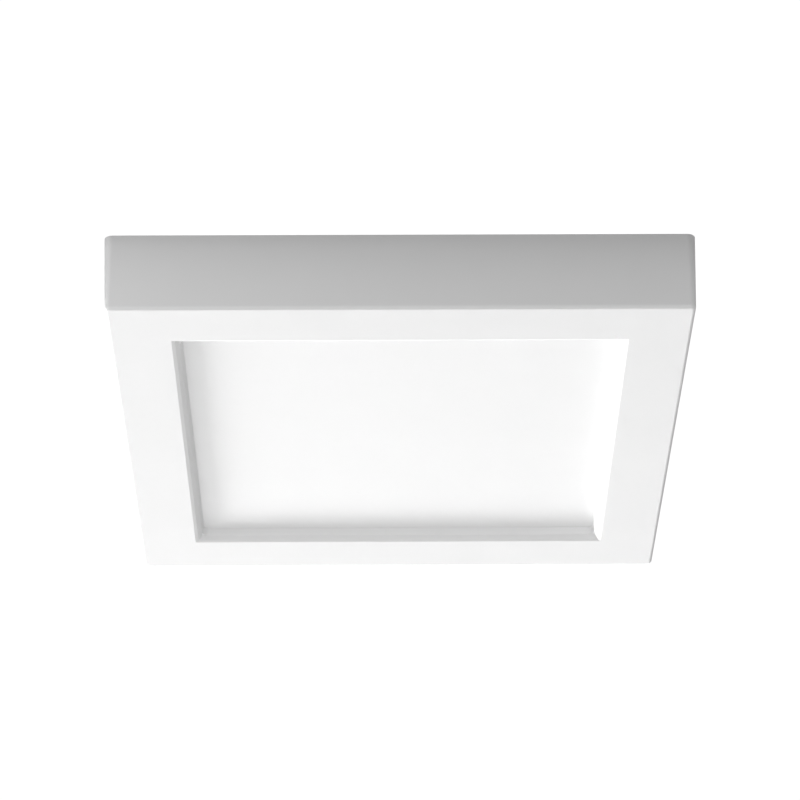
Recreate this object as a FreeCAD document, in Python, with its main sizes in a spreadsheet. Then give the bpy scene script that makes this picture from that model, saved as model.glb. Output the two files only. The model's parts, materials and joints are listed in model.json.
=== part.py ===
"""Square edge-lit flush mount ceiling light, in millimetres.

The origin is the centre of the ceiling plane and +Z points up into the ceiling, so the
light hangs from z = 0 down to its white face. The near side wall is at -Y.
"""
import FreeCAD, Part
import math
import os
import re

import Sketcher

# Driving dimensions: name, size in mm (angles in degrees, counts as plain numbers), meaning.
SIZES = [
    # casting
    ("face_width", 178, "side of the square face"),
    ("body_height", 25.4, "ceiling to face"),
    ("wall_draft", 2.2, "outward lean of the side walls towards the ceiling"),
    ("wall_thick", 2.2, "side wall"),
    ("trim_thick", 2.2, "flat trim"),
    ("corner_round", 1.6, "plan radius of the outer corners at the face"),
    ("edge_round", 1.1, "fillet between side wall and face"),
    ("trim_width", 19.0, "flat trim, from the outer edge of the face to the aperture's rim"),
    ("rim_width", 0.6, "softened rim, out from where the bevel would meet the face"),
    ("rim_height", 0.4, "softened rim, measured upwards"),
    ("bevel_width", 1.7, "aperture bevel, measured along the face"),
    ("bevel_height", 1.5, "aperture bevel, measured upwards"),
    ("step_width", 0.7, "inward lean of the steep part of the aperture wall"),
    ("step_corner", 2.0, "plan radius of the steep part's corners"),
    ("recess_depth", 3.9, "face to diffuser"),
    ("ledge_width", 9.0, "ledge that the diffuser rests on"),
    ("frame_wall", 1.8, "wall round the optical stack"),
    # optical stack
    ("stack_gap", 0.3, "clearance between the stack and the wall round it"),
    ("diffuser_thick", 2.0, "diffuser sheet"),
    ("guide_thick", 3.0, "light guide"),
    ("reflector_thick", 0.4, "reflector film"),
    ("strip_thick", 1.0, "strip board"),
    ("strip_inset", 6.0, "strip's end to the corner of the stack"),
    ("chip_count", 10, "chips on each strip"),
    ("chip_long", 3.0, "chip, along the strip"),
    ("chip_tall", 1.4, "chip, across the strip"),
    ("chip_thick", 0.7, "chip, out from the strip"),
    ("link_thick", 0.25, "ribbon that joins two strips"),
    ("link_tall", 1.4, "height of that ribbon"),
    ("link_reach", 2.5, "ribbon's overlap on a strip"),
    ("tongue_width", 8.0, "strip's connection tongue"),
    ("tongue_rise", 7.4, "tongue's height above the back plate"),
    # back plate
    ("plate_thick", 1.2, "back plate"),
    ("plate_overhang", 0.3, "back plate inside the outer face of the stack wall"),
    ("plate_corner", 4.0, "clipped corner of the back plate"),
    ("tab_width", 9.0, "screw tab"),
    ("tab_offset", 46.0, "screw tab, from the centre line"),
    ("lug_inset", 4.5, "gap between the stack wall and a lug's screw"),
    ("lug_half", 3.2, "half the width of a screw lug, and its reach past the screw"),
    ("lug_corner", 1.6, "clipped corner of a lug"),
    ("lug_hole_depth", 5.4, "threaded hole in a lug"),
    ("turned_edge_height", 5.0, "back plate's turned-up edges"),
    ("turned_edge_length", 64.0, "length of a turned-up edge"),
    ("bead_length", 96.0, "stiffening bead"),
    ("bead_width", 7.0, "width of a bead"),
    ("bead_height", 0.8, "rise of a bead"),
    ("bead_count", 2, "stiffening beads"),
    ("bead_spacing", 20.0, "distance between beads"),
    ("bead_first", -60.0, "first bead's place"),
    ("hook_width", 8.0, "hook that holds one end of the driver"),
    ("hook_reach", 3.0, "hook's reach over the driver's ear"),
    ("hook_gap", 0.2, "gap between the hook and that ear"),
    # stiffening ribs of the casting
    ("rib_thick", 1.5, "rib between stack wall and side wall"),
    ("rib_height", 5.0, "height of a rib"),
    ("rib_inner", 15.0, "place of the ribs next to the centre line"),
    ("rib_outer", 63.0, "place of the ribs next to the corners"),
    # small screws that hold the back plate
    ("screw_dia", 3.0, "screw thread"),
    ("screw_length", 6.0, "screw below its head"),
    ("screw_head_dia", 5.6, "screw head"),
    ("screw_head_height", 2.0, "screw head"),
    ("recess_width", 0.9, "arm of the cross recess"),
    ("recess_length", 3.0, "length of the cross recess"),
    ("recess_deep", 1.2, "depth of the cross recess"),
    ("thread_gap", 0.05, "radial gap between a thread and its hole"),
    ("hole_gap", 0.2, "radial gap between a screw and a clearance hole"),
    # side screws
    ("set_dia", 4.0, "set screw thread"),
    ("set_length", 5.0, "set screw, with its cone"),
    ("set_cone", 1.0, "cone at the tip"),
    ("set_tip_dia", 2.0, "flat end of the cone"),
    ("set_socket", 2.0, "hexagon socket across flats"),
    ("set_socket_deep", 2.2, "depth of the socket"),
    ("set_depth", 6.0, "side screw's distance below the ceiling"),
    ("set_boss_radius", 4.5, "boss round a side screw"),
    ("boss_reach", 3.3, "boss's end to the inner face of the side wall at the ceiling"),
    ("tip_gap", 0.1, "side screw's tip to the bracket's ear"),
    # bracket
    ("ear_gap", 0.5, "bracket's ear to the side screw's boss"),
    ("ear_height", 11.0, "ear, from the ceiling down"),
    ("ear_width", 24.0, "ear"),
    ("bracket_thick", 1.5, "bracket's steel"),
    ("bracket_width", 44.0, "crossbar"),
    ("bend_radius", 2.0, "outside radius of the bracket's bends"),
    ("shoulder_length", 14.0, "narrow stretch of the crossbar behind an ear"),
    ("shoulder_round", 2.0, "inside corner of that stretch"),
    ("hem_height", 4.0, "crossbar's turned-down edges, from the ceiling down"),
    ("hem_inset", 8.0, "hem's end to the narrow stretch"),
    ("wire_hole", 26.0, "hole that the supply wires come through"),
    ("box_slot_place", 39.7, "ceiling box screw slot's distance from the centre"),
    ("box_slot_length", 14.4, "ceiling box screw slot, end to end"),
    ("box_slot_width", 4.8, "ceiling box screw slot"),
    ("ground_place", 22.7, "earth screw's distance from the centre"),
    ("ground_dia", 4.0, "earth screw thread"),
    ("ground_washer_side", 8.6, "square clamp washer under the earth screw"),
    ("ground_washer_thick", 0.8, "that washer"),
    ("ground_flats", 7.0, "earth screw's hexagon across flats"),
    ("ground_head_height", 2.8, "earth screw's head"),
    ("ground_slot", 1.0, "width of the slot in that head"),
    ("ground_slot_deep", 1.2, "depth of that slot"),
    # weld studs and nuts
    ("stud_dia", 3.0, "plate stud"),
    ("stud_rise", 5.2, "stud above the back plate"),
    ("nut_flats", 5.5, "nut across flats"),
    ("nut_height", 2.4, "nut"),
    # driver
    ("driver_inset", 7.5, "driver's free ear to the edge of the back plate"),
    ("driver_y", 47.0, "driver's centre"),
    ("driver_length", 92.0, "driver case"),
    ("outlet_offset", 6.5, "low-voltage lead and strip tongue, from the driver's centre line"),
    ("driver_width", 38.0, "driver case"),
    ("driver_height", 12.4, "driver case, from the back plate up"),
    ("case_wall", 1.0, "driver case wall"),
    ("case_gap", 0.15, "gap between the cover and the base's wall"),
    ("base_wall_height", 3.6, "base's wall above its floor"),
    ("case_round", 2.0, "plan radius of the driver case"),
    ("case_edge", 0.8, "chamfer of the cover's top edge"),
    ("ear_length", 8.0, "mounting ear of the driver base"),
    ("ear_breadth", 14.0, "width of that ear"),
    ("ear_corner", 3.0, "clipped corner of that ear"),
    ("latch_width", 6.0, "cover latch"),
    ("latch_height", 1.4, "cover latch"),
    ("latch_depth", 0.6, "cover latch, out from the base's wall"),
    ("latch_place", 30.0, "latch's distance from the driver's centre"),
    ("board_gap", 0.8, "board's edge to the base's wall"),
    ("board_thick", 1.2, "driver board"),
    ("standoff_height", 1.2, "post under the board"),
    ("standoff_side", 4.0, "post under the board"),
    ("standoff_inset", 4.0, "post's distance from the board's edge"),
    # leads inside the light
    ("lead_dia", 2.0, "mains lead over its sheath"),
    ("twin_wide", 3.6, "flat twin low-voltage lead over its sheath"),
    ("twin_thick", 1.4, "that lead"),
    ("lead_spacing", 5.0, "distance between the two mains leads"),
    ("lead_gap", 0.3, "gap round a lead where it enters the driver"),
    ("lead_enter", 1.6, "lead's reach inside the driver case"),
    # terminal block
    ("terminal_inset", 2.3, "terminal block to the edge of the back plate"),
    ("terminal_y", 38.0, "terminal block's centre"),
    ("terminal_pitch", 6.0, "spacing of its poles"),
    ("terminal_margin", 1.2, "wall outside the outer poles"),
    ("terminal_depth", 17.0, "terminal block, front to back"),
    ("terminal_height", 9.6, "terminal block"),
    ("terminal_edge", 0.6, "chamfer of its top edge"),
    ("peg_long", 9.0, "peg that snaps into the back plate"),
    ("peg_wide", 6.0, "peg that snaps into the back plate"),
    ("peg_gap", 0.1, "gap round the peg"),
    ("entry_dia", 3.2, "wire entry"),
    ("entry_mouth", 4.4, "square funnel at the mouth of a wire entry"),
    ("entry_lip", 0.1, "funnel's narrow end outside its entry"),
    ("mouth_deep", 1.2, "depth of a funnel"),
    ("entry_deep", 8.0, "depth of a wire entry"),
    ("button_long", 5.0, "release button, front to back"),
    ("button_wide", 3.4, "release button"),
    ("button_tall", 4.6, "release button"),
    ("button_rise", 1.6, "release button above the block at rest"),
    ("button_travel", 1.2, "release button's stroke"),
    ("button_gap", 0.3, "gap round a release button"),
    ("button_edge", 0.4, "chamfer of a release button"),
    ("notch_long", 2.0, "screwdriver notch in a release button"),
    ("notch_wide", 0.8, "screwdriver notch in a release button"),
    ("notch_deep", 0.5, "screwdriver notch in a release button"),
    ("contact_side", 2.2, "terminal's contact plate"),
    ("contact_thick", 0.6, "terminal's contact plate"),
    # what stands on the driver board; "across" is from the driver's centre line
    ("fuse_dia", 3.6, "fuse"),
    ("fuse_length", 10.0, "fuse"),
    ("fuse_side", 7.0, "fuse's place across the board"),
    ("film_wide", 6.0, "mains capacitor, along the board"),
    ("film_long", 13.0, "mains capacitor, across the board"),
    ("film_tall", 7.4, "mains capacitor"),
    ("film_side", 3.0, "mains capacitor's place across the board"),
    ("choke_base", 7.0, "square foot of the choke"),
    ("choke_base_tall", 1.2, "square foot of the choke"),
    ("choke_dia", 6.4, "choke"),
    ("choke_tall", 6.0, "choke above its foot"),
    ("choke_side", -8.0, "choke's place across the board"),
    ("bridge_long", 6.4, "rectifier"),
    ("bridge_wide", 5.0, "rectifier"),
    ("bridge_tall", 2.6, "rectifier"),
    ("bridge_side", 7.0, "rectifier's place across the board"),
    ("bulk_dia", 7.6, "mains side can capacitor"),
    ("bulk_length", 18.0, "mains side can capacitor"),
    ("core_long", 17.0, "transformer core"),
    ("core_wide", 15.0, "transformer core"),
    ("core_tall", 7.0, "transformer core"),
    ("core_leg", 3.0, "leg of the transformer core"),
    ("winding_wide", 11.0, "winding"),
    ("winding_tall", 6.8, "winding"),
    ("winding_round", 1.5, "corner of the winding"),
    ("winding_gap", 0.15, "gap between the winding and the core"),
    ("ic_side", 9.0, "how far they are from the board's centre line"),
    ("ic_long", 5.0, "control chip"),
    ("ic_wide", 4.0, "control chip"),
    ("ic_tall", 1.6, "control chip"),
    ("diode_long", 4.0, "output diode"),
    ("diode_wide", 4.6, "output diode"),
    ("diode_tall", 2.2, "output diode"),
    ("output_dia", 7.0, "output can capacitor"),
    ("output_length", 13.0, "output can capacitor"),
    ("output_side", -2.0, "output can capacitor's place across the board"),
    # earth tag
    ("earth_inset", 11.5, "earth stud to the edge of the back plate"),
    ("tag_thick", 0.8, "earth tag"),
    ("tag_dia", 7.0, "ring of the earth tag"),
    ("tag_reach", 7.0, "ring's centre to the end of the crimp"),
    ("crimp_length", 3.5, "crimp round the earth lead"),
    ("crimp_wall", 0.5, "wall of the crimp"),
]

document = FreeCAD.newDocument("ceiling_light")
sheet = document.addObject("Spreadsheet::Sheet", "Sizes")
for row, (alias, size, meaning) in enumerate(SIZES, start=1):
    sheet.set("A%d" % row, alias)
    sheet.set("B%d" % row, str(size))
    sheet.setAlias("B%d" % row, alias)
    sheet.set("C%d" % row, meaning)
document.recompute()

PAST = "1"  # how far a cut runs past the edge that it opens
MEET = "0.001"  # how far two cuts that meet run into each other
SAME = 1e-4  # edges nearer than this are taken to be at one place
ROUND_END = "0.49999"  # a slot's end radius as a share of its width, short of no side at all

ALIASES = re.compile(r"\b(" + "|".join(alias for alias, size, meaning in SIZES) + r")\b")


def value(text):
    """The number that an expression on the sheet's names works out to."""
    result = sheet.evalExpression(str(text))
    return float(getattr(result, "Value", result))


def bind(item, prop, text):
    """Tie a property to an expression on the sheet's names."""
    item.setExpression(prop, ALIASES.sub(r"Sizes.\1", str(text)))


# Levels, from the face upwards.
FACE = "(-body_height)"
TRIM_TOP = "(trim_thick - body_height)"
LENS = "(recess_depth - body_height)"
GUIDE = "(recess_depth + diffuser_thick - body_height)"
GUIDE_TOP = "(recess_depth + diffuser_thick + guide_thick - body_height)"
SEAT = "(recess_depth + diffuser_thick + guide_thick + reflector_thick - body_height)"
PLATE = "(" + SEAT + " + plate_thick)"
CASE_TOP = "(" + PLATE + " + driver_height)"

# Half widths, from the aperture outwards.
APERTURE = "(face_width - 2 * trim_width)"
BEVEL_HALF = "(" + APERTURE + " / 2 - rim_width)"
LENS_HALF = "(" + BEVEL_HALF + " - bevel_width - step_width)"
STACK_HALF = "(" + LENS_HALF + " + ledge_width)"
FRAME_HALF = "(" + STACK_HALF + " + frame_wall)"
GUIDE_HALF = "(" + STACK_HALF + " - strip_thick - chip_thick - stack_gap)"
PLATE_HALF = "(" + FRAME_HALF + " - plate_overhang)"
STRIP_HALF = "(" + STACK_HALF + " - strip_inset)"
LUG_PLACE = "(" + FRAME_HALF + " + lug_inset)"
WALL_AT_TRIM = "(face_width / 2 + trim_thick * tan(wall_draft) - wall_thick)"
WALL_AT_TOP = "(face_width / 2 + body_height * tan(wall_draft) - wall_thick)"
BOSS_HALF = "(" + WALL_AT_TOP + " - boss_reach)"
EAR_HALF = "(" + BOSS_HALF + " - ear_gap)"
LUG_ROOT = "(" + WALL_AT_TRIM + " + wall_thick / 2)"
BOSS_ROOT = "(" + WALL_AT_TOP + " + wall_thick / 4)"

# Places on the plan that several pieces share.
TONGUE_Y = "(driver_y + outlet_offset)"
DRIVER_X = "(" + PLATE_HALF + " - driver_inset - ear_length - driver_length / 2)"
TERMINAL_WIDTH = "(3 * terminal_pitch + 2 * terminal_margin)"
TERMINAL_X = "(terminal_inset + " + TERMINAL_WIDTH + " / 2 - " + PLATE_HALF + ")"
EARTH_X = "(" + TERMINAL_X + " - terminal_pitch)"
EARTH_Y = "(" + PLATE_HALF + " - earth_inset)"


def new_body(name, several=False):
    """A body whose name is its node's; several=True lets it hold separate solids."""
    item = document.addObject("PartDesign::Body", name)
    item.Label = name
    item.AllowCompound = several
    return item


def plane_of(body, role):
    return next(item for item in body.Origin.OriginFeatures if item.Role == role)


def new_sketch(body, name, plane="XY_Plane", at=("0", "0", "0")):
    """A sketch parallel to an origin plane, with its own origin at the point given."""
    sketch = body.newObject("Sketcher::SketchObject", name)
    sketch.AttachmentSupport = (plane_of(body, plane), "")
    sketch.MapMode = "FlatFace"
    x, y, z = at
    local = {
        "XY_Plane": (x, y, z),
        "XZ_Plane": (x, z, "-(" + y + ")"),
        "YZ_Plane": (y, z, x),
    }[plane]
    for axis, text in zip("xyz", local):
        bind(sketch, "AttachmentOffset.Base." + axis, text)
    return sketch


def hold(sketch, rules, sizes):
    """Add constraints: plain rules, then sizes as (kind, geometry, point, expression)."""
    made = [Sketcher.Constraint(*rule) for rule in rules]
    for kind, geometry, point, text in sizes:
        if kind == "Radius":
            made.append(Sketcher.Constraint(kind, geometry, value(text)))
        else:
            made.append(Sketcher.Constraint(kind, -1, 1, geometry, point, value(text)))
    first = sketch.ConstraintCount
    sketch.addConstraint(made)
    for index, (kind, geometry, point, text) in enumerate(sizes, start=first + len(rules)):
        label = "size%d" % index
        sketch.renameConstraint(index, label)
        bind(sketch, "Constraints." + label, text)


def draw_circle(sketch, x, y, radius):
    centre = FreeCAD.Vector(value(x), value(y), 0)
    circle = Part.Circle(centre, FreeCAD.Vector(0, 0, 1), value(radius))
    geometry = sketch.addGeometry(circle, False)
    sizes = [
        ("DistanceX", geometry, 3, x),
        ("DistanceY", geometry, 3, y),
        ("Radius", geometry, 0, radius),
    ]
    hold(sketch, [], sizes)


def draw_polygon(sketch, points):
    """A closed outline with straight sides, every corner held by two named distances."""
    corners = [FreeCAD.Vector(value(x), value(y), 0) for x, y in points]
    sides = list(zip(corners, corners[1:] + corners[:1]))
    first = sketch.GeometryCount
    sketch.addGeometry([Part.LineSegment(start, end) for start, end in sides], False)
    rules, sizes = [], []
    for index, (x, y) in enumerate(points):
        before = first + (index - 1) % len(points)
        rules.append(("Coincident", before, 2, first + index, 1))
        sizes.append(("DistanceX", first + index, 1, x))
        sizes.append(("DistanceY", first + index, 1, y))
    hold(sketch, rules, sizes)


def draw_box(sketch, x, y, width, depth):
    """A rectangle centred on a point."""
    left = "(%s) - (%s) / 2" % (x, width)
    right = "(%s) + (%s) / 2" % (x, width)
    low = "(%s) - (%s) / 2" % (y, depth)
    high = "(%s) + (%s) / 2" % (y, depth)
    draw_polygon(sketch, [(left, low), (right, low), (right, high), (left, high)])


def draw_clipped(sketch, width, depth, clip):
    """A rectangle centred on the sketch's origin, with its four corners cut off at 45 degrees."""
    x, y = "(%s) / 2" % width, "(%s) / 2" % depth
    inner_x, inner_y = "(%s - %s)" % (x, clip), "(%s - %s)" % (y, clip)
    quarter = [(x, inner_y), (inner_x, y)]
    points = quarter + [("-" + inner_x, y), ("-(%s)" % x, inner_y)]
    points += [("-(%s)" % x, "-" + inner_y), ("-" + inner_x, "-(%s)" % y)]
    points += [(inner_x, "-(%s)" % y), (x, "-" + inner_y)]
    draw_polygon(sketch, points)


def draw_rounded(sketch, x, y, width, depth, radius):
    """A rectangle centred on a point, with its four corners rounded alike."""
    middle_x, middle_y = value(x), value(y)
    half_x, half_y, turn = value(width) / 2, value(depth) / 2, value(radius)
    first = sketch.GeometryCount
    up = FreeCAD.Vector(0, 0, 1)
    for quarter in range(4):
        angle = math.radians(90 * quarter - 90)
        sign_x = 1 if quarter in (0, 1) else -1
        sign_y = 1 if quarter in (1, 2) else -1
        centre = FreeCAD.Vector(
            middle_x + sign_x * (half_x - turn), middle_y + sign_y * (half_y - turn), 0
        )
        arc = Part.ArcOfCircle(Part.Circle(centre, up, turn), angle, angle + math.pi / 2)
        sketch.addGeometry(arc, False)
    ends = [sketch.getPoint(first + quarter, 2) for quarter in range(4)]
    starts = [sketch.getPoint(first + quarter, 1) for quarter in range(4)]
    for quarter in range(4):
        line = Part.LineSegment(ends[quarter], starts[(quarter + 1) % 4])
        sketch.addGeometry(line, False)
    rules = []
    for quarter in range(4):
        side = first + 4 + quarter
        following = first + (quarter + 1) % 4
        rules.append(("Tangent", first + quarter, 2, side, 1))
        rules.append(("Tangent", side, 2, following, 1))
        rules.append(("Vertical" if quarter in (0, 2) else "Horizontal", side))
        if quarter:
            rules.append(("Equal", first, first + quarter))
    sizes = [
        ("Radius", first, 0, radius),
        ("DistanceX", first + 4, 1, "(%s) + (%s) / 2" % (x, width)),
        ("DistanceX", first + 6, 1, "(%s) - (%s) / 2" % (x, width)),
        ("DistanceY", first + 5, 1, "(%s) + (%s) / 2" % (y, depth)),
        ("DistanceY", first + 7, 1, "(%s) - (%s) / 2" % (y, depth)),
    ]
    hold(sketch, rules, sizes)


def draw_slot(sketch, x, y, length, width):
    """A slot that runs along the sketch's first axis, length measured end to end."""
    draw_rounded(sketch, x, y, length, width, "(%s) * %s" % (width, ROUND_END))


def add_pad(body, name, sketch, length, taper="0", down=False):
    pad = body.newObject("PartDesign::Pad", name)
    pad.Profile = sketch
    pad.Reversed = down
    bind(pad, "Length", length)
    if taper != "0":
        bind(pad, "TaperAngle", taper)
    document.recompute()
    return pad


def add_pocket(body, name, sketch, length, taper="0", up=False):
    """A cut that runs down into the body, or up into it; it has to remove material."""
    before = body.Shape.Volume
    pocket = body.newObject("PartDesign::Pocket", name)
    pocket.Profile = sketch
    pocket.Reversed = up
    bind(pocket, "Length", length)
    if taper != "0":
        bind(pocket, "TaperAngle", taper)
    document.recompute()
    if body.Shape.Volume >= before:
        raise RuntimeError(body.Label + ": " + name + " cuts nothing")
    return pocket


def add_revolution(body, name, sketch, axis="V_Axis"):
    """A full turn of a profile about one of its sketch's axes."""
    turn = body.newObject("PartDesign::Revolution", name)
    turn.Profile = sketch
    turn.ReferenceAxis = (sketch, [axis])
    turn.Angle = 360
    document.recompute()
    return turn


def add_polar(body, name, features, count):
    """Copies of features round the light's upright axis."""
    pattern = body.newObject("PartDesign::PolarPattern", name)
    pattern.Originals = features
    pattern.Axis = (plane_of(body, "Z_Axis"), [""])
    pattern.Angle = 360
    pattern.Occurrences = count
    body.Tip = pattern
    document.recompute()
    return pattern


def add_edges(body, name, kind, size, base, chosen):
    """Rounds ("Fillet") or bevels ("Chamfer") the edges of a feature that the test picks."""
    names = [
        "Edge%d" % index for index, edge in enumerate(base.Shape.Edges, start=1) if chosen(edge)
    ]
    edges = body.newObject("PartDesign::" + kind, name)
    edges.Base = (base, names)
    bind(edges, "Radius" if kind == "Fillet" else "Size", size)
    document.recompute()
    return edges


def lies_at(level):
    """A test for edges that lie in the level plane at that height."""

    def test(edge):
        box = edge.BoundBox
        return abs(box.ZMin - level) < SAME and abs(box.ZMax - level) < SAME

    return test


def lies_across(x, level):
    """A test for edges that run along Y at that height, at x or at -x."""
    level_test = lies_at(level)

    def test(edge):
        box = edge.BoundBox
        return level_test(edge) and box.XLength < SAME and abs(abs(box.Center.x) - x) < SAME

    return test


def make_housing():
    """The casting: drafted walls, flat trim, stepped aperture, stack wall, lugs and ribs."""
    body = new_body("housing")
    outline = new_sketch(body, "outer_outline", at=("0", "0", FACE))
    draw_rounded(outline, "0", "0", "face_width", "face_width", "corner_round")
    block = add_pad(body, "outer_block", outline, "body_height", taper="wall_draft")
    add_edges(body, "face_edge", "Fillet", "edge_round", block, lies_at(value(FACE)))

    inside = new_sketch(body, "inner_outline", at=("0", "0", TRIM_TOP))
    draw_box(inside, "0", "0", "2 * " + WALL_AT_TRIM, "2 * " + WALL_AT_TRIM)
    depth = "body_height - trim_thick"
    add_pocket(body, "inner_space", inside, depth, taper="wall_draft", up=True)

    ledge = new_sketch(body, "ledge_outline", at=("0", "0", TRIM_TOP))
    draw_box(ledge, "0", "0", "2 * " + FRAME_HALF, "2 * " + FRAME_HALF)
    add_pad(body, "ledge", ledge, "recess_depth - trim_thick")
    ring = new_sketch(body, "stack_wall_outline", at=("0", "0", LENS))
    draw_box(ring, "0", "0", "2 * " + FRAME_HALF, "2 * " + FRAME_HALF)
    draw_box(ring, "0", "0", "2 * " + STACK_HALF, "2 * " + STACK_HALF)
    add_pad(body, "stack_wall", ring, SEAT + " - " + LENS)

    step = new_sketch(body, "step_outline", at=("0", "0", LENS))
    draw_rounded(step, "0", "0", "2 * " + LENS_HALF, "2 * " + LENS_HALF, "step_corner")
    steep = "recess_depth - bevel_height"
    lean = "atan(step_width / (%s))" % steep
    add_pocket(body, "aperture_step", step, steep + " + " + MEET, taper=lean)
    bevel = new_sketch(body, "bevel_outline", at=("0", "0", FACE))
    draw_box(bevel, "0", "0", "2 * " + BEVEL_HALF, "2 * " + BEVEL_HALF)
    lean = "-atan(bevel_width / bevel_height)"
    add_pocket(body, "aperture_bevel", bevel, "bevel_height", taper=lean, up=True)
    rim = new_sketch(body, "rim_outline", at=("0", "0", FACE))
    draw_box(rim, "0", "0", APERTURE, APERTURE)
    lean = "-atan(rim_width / rim_height + bevel_width / bevel_height)"
    add_pocket(body, "aperture_rim", rim, "rim_height", taper=lean, up=True)

    lugs = new_sketch(body, "lug_outline", at=("0", "0", TRIM_TOP))
    for place in ("tab_offset", "-tab_offset"):
        draw_lug(lugs, place)
    pad = add_pad(body, "screw_lug", lugs, SEAT + " - " + TRIM_TOP)
    add_polar(body, "screw_lugs", [pad], 2)
    holes = new_sketch(body, "lug_hole_outline", at=("0", "0", SEAT))
    for place in ("tab_offset", "-tab_offset"):
        draw_circle(holes, LUG_PLACE, place, "screw_dia / 2 + thread_gap")
    hole = add_pocket(body, "lug_hole", holes, "lug_hole_depth")
    add_polar(body, "lug_holes", [hole], 2)

    ribs = new_sketch(body, "rib_outline", at=("0", "0", TRIM_TOP))
    start = "(%s - frame_wall / 3)" % FRAME_HALF
    middle = "(%s + %s) / 2" % (start, LUG_ROOT)
    for place in ("rib_inner", "-rib_inner", "rib_outer", "-rib_outer"):
        draw_box(ribs, middle, place, "%s - %s" % (LUG_ROOT, start), "rib_thick")
    rib = add_pad(body, "rib", ribs, "rib_height")
    add_polar(body, "ribs", [rib], 4)

    boss = new_sketch(body, "set_boss_outline", "YZ_Plane", at=(BOSS_HALF, "0", "0"))
    draw_circle(boss, "0", "-set_depth", "set_boss_radius")
    pad = add_pad(body, "set_boss", boss, BOSS_ROOT + " - " + BOSS_HALF)
    add_polar(body, "set_bosses", [pad], 2)
    bore = new_sketch(body, "set_hole_outline", "YZ_Plane", at=("face_width", "0", "0"))
    draw_circle(bore, "0", "-set_depth", "set_dia / 2 + thread_gap")
    cut = add_pocket(body, "set_hole", bore, "face_width")
    add_polar(body, "set_holes", [cut], 2)
    return body


def draw_lug(sketch, place):
    """A block from the side wall to just past the lug's screw, its free corners clipped."""
    tip = "(%s - lug_half)" % LUG_PLACE
    side, clipped = "lug_half", "(lug_half - lug_corner)"
    points = [(LUG_ROOT, "-" + side), (LUG_ROOT, side), (tip + " + lug_corner", side)]
    points += [(tip, clipped), (tip, "-" + clipped), (tip + " + lug_corner", "-" + side)]
    draw_polygon(sketch, [(x, "%s + %s" % (place, y)) for x, y in points])


def make_sheet(name, low, thick, half):
    """One square sheet of the optical stack."""
    body = new_body(name)
    sketch = new_sketch(body, name + "_outline", at=("0", "0", low))
    draw_box(sketch, "0", "0", "2 * " + half, "2 * " + half)
    add_pad(body, name + "_sheet", sketch, thick)
    return body


def make_led_strips():
    """Four strip boards on edge against the stack wall, one with a connection tongue."""
    body = new_body("led_strips", several=True)
    strip = new_sketch(body, "strip_outline", "YZ_Plane", at=(STACK_HALF, "0", "0"))
    middle = "(%s + %s) / 2" % (GUIDE, GUIDE_TOP)
    draw_box(strip, "0", middle, "2 * " + STRIP_HALF, "guide_thick")
    pad = add_pad(body, "strip", strip, "strip_thick", down=True)
    add_polar(body, "strips", [pad], 4)
    tongue = new_sketch(body, "tongue_outline", "YZ_Plane", at=(STACK_HALF, "0", "0"))
    top = PLATE + " + tongue_rise"
    middle = "(%s + %s) / 2" % (GUIDE_TOP, top)
    draw_box(tongue, TONGUE_Y, middle, "tongue_width", "%s - %s" % (top, GUIDE_TOP))
    add_pad(body, "tongue", tongue, "strip_thick", down=True)
    return body


def make_led_chips():
    """Rows of chips on the strips, facing the edges of the light guide."""
    body = new_body("led_chips", several=True)
    face = "(%s - strip_thick)" % STACK_HALF
    row = new_sketch(body, "chip_outlines", "YZ_Plane", at=(face, "0", "0"))
    middle = "(%s + %s) / 2" % (GUIDE, GUIDE_TOP)
    for index in range(int(value("chip_count"))):
        place = "(2 * %s / chip_count * (%d - (chip_count - 1) / 2))" % (STRIP_HALF, index)
        draw_box(row, place, middle, "chip_long", "chip_tall")
    pad = add_pad(body, "chip_row", row, "chip_thick", down=True)
    add_polar(body, "chip_rows", [pad], 4)
    return body


# The hook over the driver's other ear: the inner face of its post, and its lip's underside.
HOOK_INNER = "(" + DRIVER_X + " - driver_length / 2 - ear_length - hook_gap)"
HOOK_UNDER = "(case_wall + hook_gap)"


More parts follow.
